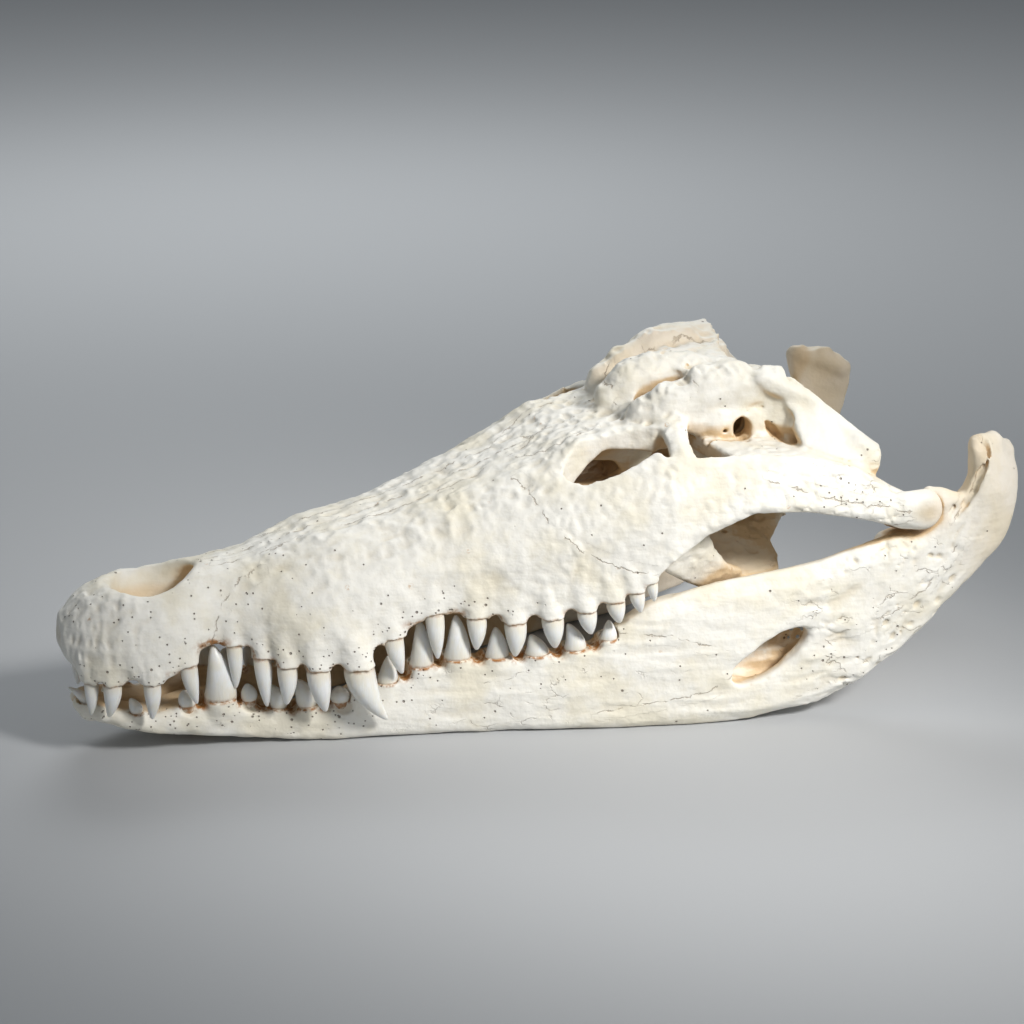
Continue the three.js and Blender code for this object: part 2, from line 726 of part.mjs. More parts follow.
// Inner half of the joint socket, reaching in under the quadrate's knuckle.
const articularShelf = () => [
  lump(left(526, 100, 104), [21, 18, 13]),
  lump(left(546, 102, 124), [9, 15, 17]),
  lump(left(540, 118, 138), [9, 11, 9]),
];

// Hollow between the two walls of the jaw, open upwards and inwards, where the closing muscles sat.
const muscleHollow = () =>
  blade(
    [
      { from: left(376, 88, 44), to: left(374, 84, 112), thick: 7 },
      { from: left(392, 95, 32), to: left(392, 88, 130), thick: 12 },
      { from: left(430, 103, 24), to: left(430, 95, 135), thick: 13 },
      { from: left(468, 107, 34), to: left(468, 100, 140), thick: 12 },
      { from: left(496, 108, 58), to: left(494, 102, 142), thick: 9 },
    ],
    10,
  );

function sideWindow() {
  const shape = new THREE.Shape();
  shape.absellipse(0, 0, FENESTRA_LENGTH / 2, FENESTRA_HEIGHT / 2, 0, 2 * Math.PI);
  const geometry = extruded(shape, FENESTRA_DEPTH);
  geometry.rotateZ(FENESTRA_SLOPE);
  geometry.rotateX(Math.PI / 2);
  geometry.translate(428, -102, 47);
  return geometry;
}

const insideHalf = () => {
  const geometry = new THREE.BoxGeometry(2 * LENGTH, LENGTH, LENGTH);
  geometry.translate(0, (LENGTH - MIDLINE_GAP) / 2, 0);
  return geometry;
};

const belowFloor = () => {
  const deep = LENGTH / 10;
  const geometry = new THREE.BoxGeometry(2 * LENGTH, LENGTH, deep);
  geometry.translate(LENGTH / 2, 0, FLAT_LEVEL - deep / 2);
  return geometry;
};

// The bottom edges are trimmed to one level, so that the skull lies flat on both branches.
function jawHalf(teeth) {
  return joined([jawBranch(), ...articularShelf(), ...teeth.map((one) => tooth(one, 1))])
    .subtract(joined([muscleHollow(), sideWindow()]))
    .subtract(joined([insideHalf(), belowFloor()]));
}

// Socket for the knuckle, a little wider than it, so that the two bones don't touch.
const jointSocket = () =>
  joined([...quadrateCondyle(2 * BONE_GAP), lump(left(523, 113, 132), [15, 26, 14], 8, 5)]);

// ---- the skull ----------------------------------------------------------------------------------

const bone = new THREE.MeshStandardMaterial({ color: 0xece4d3, roughness: 0.75, metalness: 0 });
const jawBone = new THREE.MeshStandardMaterial({ color: 0xe9e1cf, roughness: 0.78, metalness: 0 });

const skull = cranium();
const jaw = (teeth) => jawHalf(teeth).subtract(jointSocket());
const leftJaw = meshOf('mandible_left', jaw(LOWER_TEETH), jawBone);
const rightJaw = meshOf('mandible_right', jaw(LOWER_TEETH.slice(1)), jawBone); // it has lost its first tooth
rightJaw.geometry = mirrored(rightJaw.geometry);

const group = new THREE.Group();
group.add(meshOf('cranium', skull, bone));
group.add(leftJaw);
group.add(rightJaw);

// The origin is under the middle of the skull, on the surface that it lies on.
const box = new THREE.Box3().setFromObject(group);
group.position.set(-(box.min.x + box.max.x) / 2, -(box.min.y + box.max.y) / 2, -box.min.z);

export default group;
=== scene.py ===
import math
from collections import namedtuple

import bpy
import numpy as np
import openvdb
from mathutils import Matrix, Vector


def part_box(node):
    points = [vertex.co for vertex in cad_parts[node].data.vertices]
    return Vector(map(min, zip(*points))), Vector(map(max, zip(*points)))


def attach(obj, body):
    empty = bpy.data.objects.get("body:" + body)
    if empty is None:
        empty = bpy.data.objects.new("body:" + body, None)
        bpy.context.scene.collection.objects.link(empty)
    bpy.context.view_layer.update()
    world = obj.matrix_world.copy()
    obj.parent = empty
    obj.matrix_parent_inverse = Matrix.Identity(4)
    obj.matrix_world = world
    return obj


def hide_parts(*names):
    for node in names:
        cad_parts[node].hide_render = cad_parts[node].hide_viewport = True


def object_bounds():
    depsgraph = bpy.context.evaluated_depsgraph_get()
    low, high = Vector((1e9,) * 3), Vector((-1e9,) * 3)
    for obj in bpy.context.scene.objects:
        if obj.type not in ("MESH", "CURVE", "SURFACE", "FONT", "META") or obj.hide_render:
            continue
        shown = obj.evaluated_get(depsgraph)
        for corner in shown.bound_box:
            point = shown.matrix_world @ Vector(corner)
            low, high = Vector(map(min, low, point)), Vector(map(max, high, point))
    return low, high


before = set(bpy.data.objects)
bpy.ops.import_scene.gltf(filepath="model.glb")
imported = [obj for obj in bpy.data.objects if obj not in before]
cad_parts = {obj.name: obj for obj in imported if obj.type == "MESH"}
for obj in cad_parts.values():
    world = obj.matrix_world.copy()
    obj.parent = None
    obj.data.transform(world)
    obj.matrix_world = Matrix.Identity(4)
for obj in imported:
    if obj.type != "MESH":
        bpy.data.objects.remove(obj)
cad_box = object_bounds()

# Crocodile skull: bone and teeth. Shapes are made in the skull's own frame: millimetres, x from the
# snout tip backwards, y = side * lateral with side -1 on the left, z up. ORIGIN is where the row
# frame's origin lies in it.
MM = 0.001
FLOOR_Z = 0.8
ORIGIN = np.array([-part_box("cranium")[0].x / MM, 0.0, FLOOR_Z])
LEFT, RIGHT = -1, 1
VOXEL = 1.1
BAND = 6  # voxels on each side of the surface that hold a true distance
MARGIN = 6  # room round a bone's box
COARSE = 3  # voxels to a step of the coarse grid that finds how shut in a place is
BLUR_REACH = 2.5  # how many sigmas a blur reaches


# ---- distance fields ----

def ramp(low, high, value):
    """Smoothly from 0 at low to 1 at high. low may be the larger of the two."""
    t = np.clip((value - low) / (high - low), 0, 1)
    return t * t * (3 - 2 * t)


def span(value, edges):
    """1 between the middle two of four edges, falling to 0 at the outer two."""
    start, full, last, end = edges
    return ramp(start, full, value) * (1 - ramp(last, end, value))


def bell(offset, width):
    """1 where offset is 0, falling off over width."""
    return np.exp(-((offset / width) ** 2))


def blurred(values, sigma):
    """Gaussian blur of a grid, sigma in grid steps."""
    radius = max(1, int(math.ceil(BLUR_REACH * sigma)))
    weights = np.exp(-0.5 * (np.arange(-radius, radius + 1) / sigma) ** 2)
    weights = (weights / weights.sum()).astype(np.float32)
    for axis in range(3):
        padding = [(radius, radius) if k == axis else (0, 0) for k in range(3)]
        padded = np.pad(values, padding, mode="edge")
        count = values.shape[axis]
        total = np.zeros_like(values)
        for k, weight in enumerate(weights):
            window = [slice(None)] * 3
            window[axis] = slice(k, k + count)
            total += weight * padded[tuple(window)]
        values = total
    return values


def cell_corners(part):
    """The corners of a grid's cell, each with its weight at a place within the cell."""
    for corner in range(8):
        step = np.array([corner & 1, corner >> 1 & 1, corner >> 2 & 1])
        yield step, np.prod(np.where(step, part, 1 - part), axis=1)


def join(view, other, soft):
    """Adds the other shape to a field's view, with a fillet about as wide as soft."""
    blend = np.maximum(soft - np.abs(view - other), 0)
    np.minimum(view, other, out=view)
    view -= blend * blend / (4 * soft)


def cut(view, other, soft):
    """Takes the other shape away from a field's view, with edges rounded by about soft."""
    other = -other
    blend = np.maximum(soft - np.abs(view - other), 0)
    np.maximum(view, other, out=view)
    view += blend * blend / (4 * soft)


def from_line(axes, start, end, flat=(1, 1, 1), squash=1):
    """How far along a line each grid place is, from 0 to 1, and its distance from the line. flat
    divides all lengths along the axes, squash only the distance along y."""
    along = (end - start) / flat
    px, py, pz = ((axes[k] - start[k]) / flat[k] for k in range(3))
    t = (px * along[0] + py * along[1] + pz * along[2]) / max(along @ along, 1e-6)
    t = np.clip(t, 0, 1)
    across = ((py - t * along[1]) / squash) ** 2
    return t, np.sqrt((px - t * along[0]) ** 2 + across + (pz - t * along[2]) ** 2)


class Field:
    """Signed distance to one bone in millimetres, negative inside it."""

    def __init__(self, node):
        low, high = (np.array(corner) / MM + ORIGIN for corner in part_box(node))
        self.first = (np.floor((low - MARGIN) / VOXEL / COARSE) * COARSE).astype(int)
        self.shape = np.ceil((high + MARGIN) / VOXEL).astype(int) - self.first + 1
        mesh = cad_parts[node].data
        mesh.calc_loop_triangles()
        points = np.empty(len(mesh.vertices) * 3, np.float32)
        mesh.vertices.foreach_get("co", points)
        triangles = np.empty(len(mesh.loop_triangles) * 3, np.int32)
        mesh.loop_triangles.foreach_get("vertices", triangles)
        grid = openvdb.FloatGrid.createLevelSetFromPolygons(
            (points.reshape(-1, 3) / MM + ORIGIN).astype(np.float32),
            triangles=triangles.reshape(-1, 3).astype(np.uint32),
            transform=openvdb.createLinearTransform(VOXEL),
            halfWidth=float(BAND),
        )
        self.d = np.empty(self.shape, np.float32)
        grid.copyToArray(self.d, ijk=self.corner())

    def corner(self):
        return tuple(int(i) for i in self.first)

    def x_places(self):
        return ((np.arange(self.shape[0]) + self.first[0]) * VOXEL)[:, None, None]

    def window(self, low, high):
        """The part of the grid between two corners, and the places of its planes on the axes."""
        start, stop = np.floor(np.asarray(low) / VOXEL), np.ceil(np.asarray(high) / VOXEL) + 1
        start = np.clip(start.astype(int) - self.first, 0, self.shape)
        stop = np.clip(stop.astype(int) - self.first, 0, self.shape)
        view = self.d[start[0]:stop[0], start[1]:stop[1], start[2]:stop[2]]
        x, y, z = (
            (np.arange(start[k], stop[k]) + self.first[k]).astype(np.float32) * VOXEL
            for k in range(3)
        )
        return view, (x[:, None, None], y[None, :, None], z[None, None, :])

    def window_round(self, a, b, reach):
        return self.window(np.minimum(a, b) - reach, np.maximum(a, b) + reach)

    def stroke(self, action, stations, soft=2.0, flat=(1, 1, 1)):
        """Joins or cuts a run of rounded cones through (x, y, z, radius) stations.
        flat stretches them along the axes, so that the cones' sections are ovals."""
        for a, b in zip(stations[:-1], stations[1:]):
            a, b = np.array(a, float), np.array(b, float)
            reach = max(a[3], b[3]) * np.array(flat) + soft + 3 * VOXEL
            view, axes = self.window_round(a[:3], b[:3], reach)
            if view.size:
                t, gap = from_line(axes, a[:3], b[:3], flat)
                action(view, gap - (a[3] + (b[3] - a[3]) * t), soft)

    def ball(self, action, at, radii, soft=2.0):
        at, radii = np.array(at, float), np.array(radii, float)
        view, axes = self.window_round(at, at, radii + soft + 3 * VOXEL)
        if view.size:
            away = np.sqrt(sum(((axes[k] - at[k]) / radii[k]) ** 2 for k in range(3)))
            action(view, (away - 1) * radii.min(), soft)

    def near_surface(self, reach):
        """Grid places near the surface, their points and the outward directions there."""
        inner = self.d[1:-1, 1:-1, 1:-1]
        places = np.argwhere(np.abs(inner) < reach) + 1
        i, j, k = places.T
        slope = np.stack(
            [
                self.d[i + 1, j, k] - self.d[i - 1, j, k],
                self.d[i, j + 1, k] - self.d[i, j - 1, k],
                self.d[i, j, k + 1] - self.d[i, j, k - 1],
            ],
            1,
        )
        slope /= np.maximum(np.linalg.norm(slope, axis=1, keepdims=True), 1e-6)
        return (i, j, k), ((places + self.first) * VOXEL).astype(np.float32), slope

    def sample(self, values, points):
        """Values of a grid like this one's at points."""
        at = points / VOXEL - self.first
        base = np.clip(np.floor(at).astype(int), 0, np.array(values.shape) - 2)
        total = 0
        for step, weight in cell_corners((at - base).astype(np.float32)):
            i, j, k = (base + step).T
            total = total + weight * values[i, j, k]
        return total


# ---- noise ----
# The sizes are a pattern's grain in millimetres, one number or one along each axis.

NOISE_SHIFT = 100  # cells by which the patterns are moved, so that no cell's number is below 0


def hashed(at, seed):
    """A number from 0 to 1 for each whole-number place."""
    mix = at[..., 0] * 73856093 ^ at[..., 1] * 19349663 ^ at[..., 2] * 83492791
    mix = mix ^ seed * 2654435761
    mix = (mix ^ (mix >> 15)) * 2246822519 & 0xFFFFFFFF
    mix = (mix ^ (mix >> 13)) * 3266489917 & 0xFFFFFFFF
    return ((mix ^ (mix >> 16)) & 0xFFFFFF).astype(np.float32) / 0xFFFFFF


def noise(points, size, seed):
    """Smooth noise from -1 to 1."""
    at = points / np.asarray(size, np.float32) + NOISE_SHIFT
    base = np.floor(at).astype(np.int64)
    part = (at - base).astype(np.float32)
    part = part * part * (3 - 2 * part)
    total = np.zeros(len(points), np.float32)
    for step, weight in cell_corners(part):
        total += weight * hashed(base + step, seed)
    return 2 * total - 1


def bent(points, amount, size, seed):
    """The points moved by smooth noise, to make a pattern on them wind."""
    return points + amount * np.stack([noise(points, size, seed + k) for k in range(3)], 1)


def ridges(points, size, seed):
    """From 0 in the furrows' floors to 1 on sharp crests."""
    return 1 - np.abs(noise(points, size, seed))


def cells(points, size, seed):
    """Distances to the nearest and second nearest of scattered cell centres, in cells."""
    at = points / np.asarray(size, np.float32) + NOISE_SHIFT
    base = np.floor(at).astype(np.int64)
    first = np.full(len(points), 9, np.float32)
    second = first.copy()
    for shift in np.ndindex(3, 3, 3):
        cell = base + np.array(shift) - 1
        centre = cell + np.stack([hashed(cell, seed + k) for k in range(3)], -1)
        gap = np.linalg.norm(at - centre, axis=1).astype(np.float32)
        second = np.minimum(second, np.maximum(first, gap))
        first = np.minimum(first, gap)
    return first, second


def cracked(points, size, seed, width):
    """1 in the furrows between scattered cells, 0 on them."""
    first, second = cells(bent(points, 2.5, 9, seed + 5), size, seed)
    return 1 - ramp(0, width, second - first)


# ---- teeth ----

# The place is that of the collar. lean is how far the tip lies behind it, reach the length to it.
Tooth = namedtuple("Tooth", "x lateral z lean reach width")
UPPER_TEETH = [
    Tooth(*numbers)
    for numbers in (
        (15.3, 25, 54, -1, 22, 8.5), (27, 32, 53, -3, 21, 11), (50, 38, 53, -1, 23.5, 10.5),
        (73, 37, 61, 4, 26, 10.5), (102, 35.5, 70, 0, 29, 9.5), (117.5, 42.5, 62, 2, 33, 11),
        (131, 50.5, 58, -1, 26, 12.5), (148.5, 58, 56, 4, 29, 14.5), (173, 63, 56, 17, 38, 19),
        (196, 62, 72, 5, 25, 12), (222, 63, 85, 2, 31, 12), (247.5, 69, 81, 0, 22, 12.5),
        (270.5, 76, 77, 0, 23, 14), (292.5, 83, 80, 2, 21, 14), (312.5, 90, 84, 3, 16, 12.5),
        (329.5, 95, 90, 3, 15, 12), (342, 99, 96, 3, 14, 10), (351, 101.5, 102, 2, 13, 7.5),
    )
]
LOWER_TEETH = [
    Tooth(*numbers)
    for numbers in (
        (16, 8, 30, -12, 15, 9), (42, 24, 29, -3, 10, 8), (73, 28, 31, -2, 10, 11),
        (93.5, 29.5, 34, -3.5, 35, 20), (111, 31, 30, -1, 11, 10), (129, 34, 24, -4, 15, 11.5),
        (146, 38, 24, -5, 18, 13.5), (166, 43, 26, -1, 10, 12), (195, 50, 38, 1, 17, 13.5),
        (216, 54, 48, -1, 30, 15.5), (238, 59.5, 52, -1, 28, 17.5), (262, 66, 52, -1, 19, 15.5),
        (286, 73, 53, -4, 13, 15.5), (309, 80, 56, -5, 17, 14.5), (329, 86, 62, 0, 12, 11.5),
    )
]
RIGHT_LOWER_TEETH = LOWER_TEETH[1:]  # the first stands only on the left
DOWN, UP = -1, 1
ROOT = 7  # length of a tooth inside its socket
ROOT_RINGS = 4
CROWN_RINGS = 22
RING_CROWDING = 1.5  # over 1, the rings lie closer together towards the tip
TOOTH_SIDES = 28
TOOTH_FLATNESS = 0.88
TOOTH_TURN = 0.25  # how far the ridges in front and behind are turned at most
EDGE_RIDGE, EDGE_SHARPNESS = 0.035, 14
FLUTES, FLUTE_DEPTH = 11, 0.012
# The crown's height and width, as parts of a whole.
CROWN_HEIGHTS = [0, 0.12, 0.3, 0.5, 0.7, 0.85, 0.95, 0.985, 1]
CROWN_WIDTHS = {
    DOWN: [0.97, 1.0, 0.95, 0.82, 0.62, 0.42, 0.25, 0.17, 0.06],
    UP: [1.0, 0.95, 0.85, 0.72, 0.55, 0.37, 0.21, 0.13, 0.05],
}
LEAF_WIDTHS = [0.86, 0.95, 1.0, 0.95, 0.77, 0.53, 0.31, 0.2, 0.06]
LEAF_TEETH_END = 180  # the lower teeth in front of this are leaf-shaped if they are small
LEAF_TEETH_WIDTH = 14


def tooth_line(tooth, way, side, height):
    """Centre of a tooth at a height from 0 at its collar to 1 at its tip, negative in its root."""
    crown, root = np.maximum(height, 0), np.minimum(height, 0)
    bow = 0.07 * tooth.reach * np.sin(np.pi * crown) + 0.35 * tooth.reach * root
    return np.array(
        [
            tooth.x + tooth.lean * height * np.abs(height),
            side * (tooth.lateral + bow),
            tooth.z + way * tooth.reach * height,
        ]
    )


def crown_width(tooth, way, height):
    leaf = way == UP and tooth.x < LEAF_TEETH_END and tooth.width < LEAF_TEETH_WIDTH
    return np.interp(height, CROWN_HEIGHTS, LEAF_WIDTHS if leaf else CROWN_WIDTHS[way])


def tooth_mesh(tooth, way, side, seed):
    """Points, faces and heights of one tooth: an oval cone with a low ridge in front and behind."""
    turn = np.random.default_rng(seed).uniform(-TOOTH_TURN, TOOTH_TURN)
    crown = 1 - (1 - np.linspace(0, 1, CROWN_RINGS)) ** RING_CROWDING
    root = np.linspace(-ROOT / tooth.reach, 0, ROOT_RINGS + 1)[:-1]
    heights = np.concatenate([root, crown])
    angles = np.linspace(0, 2 * np.pi, TOOTH_SIDES, endpoint=False)
    points, values = [], []
    for height in heights:
        centre = tooth_line(tooth, way, side, height)
        ridge = EDGE_RIDGE * np.abs(np.cos(angles - turn)) ** EDGE_SHARPNESS * (height > 0)
        flutes = FLUTE_DEPTH * np.cos(FLUTES * angles + seed) * (1 - max(height, 0))
        radius = tooth.width / 2 * crown_width(tooth, way, height) * (1 + ridge) * (1 + flutes)
        x = centre[0] + radius * np.cos(angles)
        y = centre[1] + TOOTH_FLATNESS * radius * np.sin(angles)
        points.append(np.stack([x, y, np.full(TOOTH_SIDES, centre[2])], 1))
        values.extend([height] * TOOTH_SIDES)
    faces = []
    for start in range(0, (len(heights) - 1) * TOOTH_SIDES, TOOTH_SIDES):
        for k in range(TOOTH_SIDES):
            a, b = start + k, start + (k + 1) % TOOTH_SIDES
            faces.append([a, b, b + TOOTH_SIDES, a + TOOTH_SIDES][::way])
    last = (len(heights) - 1) * TOOTH_SIDES
    faces.append(list(range(TOOTH_SIDES))[::-way])
    faces.append(list(range(last, last + TOOTH_SIDES))[::way])
    return np.concatenate(points), faces, np.array(values)


def tooth_gaps(teeth):
    """Free length and middle, as (x, lateral, z), of each gap between neighbouring teeth."""
    for tooth, following in zip(teeth[:-1], teeth[1:]):
        free = following.x - tooth.x - (tooth.width + following.width) / 2
        share = (tooth.width / 2 + free / 2) / (following.x - tooth.x)
        yield free, np.array([tooth[k] + (following[k] - tooth[k]) * share for k in range(3)])


# ---- bones ----

SLEEVE_FLATNESS = 0.92
SLEEVE_SPREAD = 2.2  # how much thicker a sleeve is at its deep end
ARCH_GAPS = (0.4, 12)  # gaps between teeth that have an arch
ARCH_RADIUS, ARCH_REACH, ARCH_FLATNESS = 4.5, 10, 1.4
CROWN_PARTS = ((0, 0.3), (0.3, 0.6), (0.6, 0.8), (0.8, 1.05))
CROWN_ROOM = 1.1


def join_sleeves(field, teeth, way, side, collar, depth):
    """Bone round each tooth's root, which stands out as a collar of that thickness."""
    for tooth in teeth:
        start = tooth_line(tooth, way, side, 4 / tooth.reach)
        end = tooth_line(tooth, way, side, -depth / tooth.reach)
        radius, deep = tooth.width / 2 + collar, tooth.width / 2 + SLEEVE_SPREAD * collar
        view, axes = field.window_round(start, end, deep + 5)
        t, gap = from_line(axes, start, end, squash=SLEEVE_FLATNESS)
        sleeve = gap - (radius + (deep - radius) * t)
        cut(sleeve, way * (tooth.z - axes[2]), 1.2)
        join(view, sleeve, 3.0)


def cut_arches(field, teeth, way, side, rise_limit):
    """The jaw's edge arches between the teeth."""
    for free, middle in tooth_gaps(teeth):
        if not ARCH_GAPS[0] <= free <= ARCH_GAPS[1]:
            continue
        radius = min(free / 2 + 0.9, ARCH_RADIUS)
        rise = min(0.45 * free + 1.2, rise_limit)
        z = middle[2] - way * (rise - 1.4 * radius)
        ends = [
            (middle[0], side * (middle[1] + across), z, radius)
            for across in (-ARCH_REACH, ARCH_REACH)
        ]
        field.stroke(cut, ends, 1.6, (1, 1, ARCH_FLATNESS))


def cut_crowns(field, teeth, way, side):
    """Takes away the frame's plain crowns, so that the enamel ones stand free."""
    for tooth in teeth:
        for heights in CROWN_PARTS:
            a, b = (tooth_line(tooth, way, side, height) for height in heights)
            widths = [max(crown_width(tooth, way, height), 0.4) for height in heights]
            wide, narrow = (tooth.width / 2 * width + CROWN_ROOM for width in widths)
            view, axes = field.window_round(a, b, wide + 3)
            t, gap = from_line(axes, a, b)
            crown = gap - (wide + (narrow - wide) * t)
            cut(view, np.maximum(crown, way * (tooth.z - axes[2]) + 0.2), 0.5)


def mirrored(stations, side):
    return [(x, side * lateral, z, radius) for x, lateral, z, radius in stations]


# Stations are (x, lateral, z, radius).
EAR_WALL = [
    (403, 51, 184, 6), (416, 54, 184, 6.5), (428, 52, 181, 10), (446, 54, 182, 10),
    (458, 60, 187, 9.5), (470, 71, 182, 8.5),
]
EAR_FLOOR = [(440, 62, 169, 6), (458, 66, 165, 8), (480, 75, 160, 7)]
EAR_HOLE = [(429, 74, 182.5, 6), (430, 52, 181, 6), (434, 30, 178, 8)]
EAR_SLIT = [(445, 184.5, 1.8), (448.5, 180, 3), (453.5, 175, 2)]  # x, z and radius
EAR_SLIT_LATERALS = range(61, 80, 3)
EAR_FORAMEN = [(417.4, 70, 180.5, 1.7), (419, 46, 180, 1.5)]
PARIETAL_RIDGE = [(362, 0, 193, 9), (376, 0, 201, 11), (390, 0, 205, 11.5), (418, 0, 207, 10)]
TABLE_RIM = [(370, 35, 194, 7), (388, 40, 202, 8), (408, 43, 208, 9), (432, 46, 210, 9)]
TABLE_TILT = 2  # the right side stands a little higher, the left one lower
CREST_END = [(494, 94, 176, 5), (501, 98, 168.5, 6.5)]
QUADRATE_BLOCK = [(512, 125.5, 138, 11.5), (524.5, 127, 137.5, 12.5)]
BLOCK_FLATNESS = (1, 0.72, 1.05)
HINGE_ROOM = 0.9
PROCESS_TOP = [(566, 119.5, 173, 6.5), (579, 114, 172, 6.8), (591, 108.5, 164.5, 6.8)]
PROCESS_GROOVE = [
    (567, 118, 190, 3), (567.5, 124, 179, 3), (567, 127, 169, 3), (563.5, 129.3, 160.5, 2.8),
    (560, 128, 147, 2.4), (554, 128, 138, 2), (547, 130, 130, 1.2),
]
PROCESS_START = (548, 568)
HOOK = [(534, 117, 145, 4), (541, 120, 142, 5), (550, 122.5, 139, 6)]
HINGE_CRACK = [(549.5, 125.2, 140, 0.9), (546, 127.2, 135.8, 0.9), (541.4, 129.5, 130.5, 0.7)]
OPEN_SOCKETS = [(73, 33.5, 30.5), (166, 49.5, 24.5), (111, 36.5, 29)]  # they show the roots
OPEN_SOCKET_RADII = (6.4, 5, 5.6)
TIP_FULLNESS = 1.0  # given back to the tips of the jaws, which blurring makes smaller
TIP_END = (8, 60)


def smoothed(field, front, rear, start, end):
    """Rounds off the frame's facets, by the blur front before x = start and rear after x = end."""
    x = field.x_places()
    soft, fine = blurred(field.d, front / VOXEL), blurred(field.d, rear / VOXEL)
    share = (1 - ramp(start, end, x)).astype(np.float32)
    field.d = share * (soft - 0.1 * front) + (1 - share) * (fine - 0.1)
    field.d -= TIP_FULLNESS * (1 - ramp(*TIP_END, x)).astype(np.float32)


def cranium_shape():
    field = Field("cranium")
    smoothed(field, 3.6, 1.3, 280, 320)
    for side in (LEFT, RIGHT):
        join_sleeves(field, UPPER_TEETH, DOWN, side, 1.2, 14)
        cut_arches(field, UPPER_TEETH, DOWN, side, 3.6)
        cut_crowns(field, UPPER_TEETH, DOWN, side)
        field.stroke(join, mirrored(EAR_WALL, side), 5, (1, 0.8, 1.25))
        field.stroke(join, mirrored(EAR_FLOOR, side), 6)
        field.stroke(cut, mirrored(EAR_HOLE, side), 1.5, (1, 1, 1.15))
        for lateral in EAR_SLIT_LATERALS:
            slit = [(x, lateral, z, radius) for x, z, radius in EAR_SLIT]
            field.stroke(cut, mirrored(slit, side), 1)
        field.stroke(cut, mirrored(EAR_FORAMEN, side), 0.8)
        field.stroke(join, mirrored(QUADRATE_BLOCK, side), 3, BLOCK_FLATNESS)
        field.stroke(join, mirrored(CREST_END, side), 6)
        tilt = side * TABLE_TILT
        rim = [(x, lateral, z + tilt, radius) for x, lateral, z, radius in TABLE_RIM]
        field.stroke(join, mirrored(rim, side), 9)
    field.stroke(join, PARIETAL_RIDGE, 8)
    return field


def jaw_shape(node, side, teeth):
    field, rounder = Field(node), Field(node)
    smoothed(field, 2.4, 1.4, 340, 380)
    smoothed(rounder, 3.4, 3.4, 0, 1)
    process = ramp(*PROCESS_START, field.x_places()).astype(np.float32)
    field.d = (1 - process) * field.d + process * (rounder.d - 0.5)
    join_sleeves(field, teeth, UP, side, 0.7, 4)
    cut_arches(field, teeth, UP, side, 3.5)
    cut_crowns(field, teeth, UP, side)
    field.stroke(join, mirrored(HOOK, side), 3)
    for x, lateral, z in OPEN_SOCKETS:
        field.ball(cut, (x, side * lateral, z), OPEN_SOCKET_RADII, 1)
    block = mirrored(QUADRATE_BLOCK, side)
    room = [(x, y, z, radius + HINGE_ROOM) for x, y, z, radius in block]
    field.stroke(cut, room, 0.8, BLOCK_FLATNESS)
    field.stroke(join, mirrored(PROCESS_TOP, side), 3)
    field.stroke(cut, mirrored(PROCESS_GROOVE, side), 1.4)
    field.stroke(cut, mirrored(HINGE_CRACK, side), 1)
    return field


# ---- relief ----

# Where each kind of relief is, along x.
SNOUT_END = (270, 320)
WRINKLES_END = (36, 66)
SNOUT_TOP = (80, 130, 300, 340)
SNOUT_REAR_SIDE = (190, 230, 255, 290)
SCALES = (255, 300, 440, 470)
ROOF_START, TABLE_START = (285, 330), (355, 385)
CHEEK_END = (425, 450, 505, 513)
SKIN = (60, 110, 420, 450)
JAW_FRONT_END = (120, 200)
JAW_MIDDLE = (180, 240, 400, 470)
JAW_REAR = (400, 460, 550, 575)
PROCESS = (550, 575)
JAW_TOP_SLOPE, JAW_TOP_START = 0.25, 440  # the top of the jaw's rear rises backwards from here
JAW_ARC = (440, 175)  # the furrows of the jaw's rear run round this x, z
JAW_ARC_RADIUS = 150
NOSTRIL = 58
RELIEF_REACH = 2.6  # voxels from the surface within which the relief is cut


def split(p, out):
    """x, lateral and z of points, and how far their directions point away from the middle."""
    return p[:, 0], np.abs(p[:, 1]), p[:, 2], out[:, 1] * np.sign(p[:, 1])


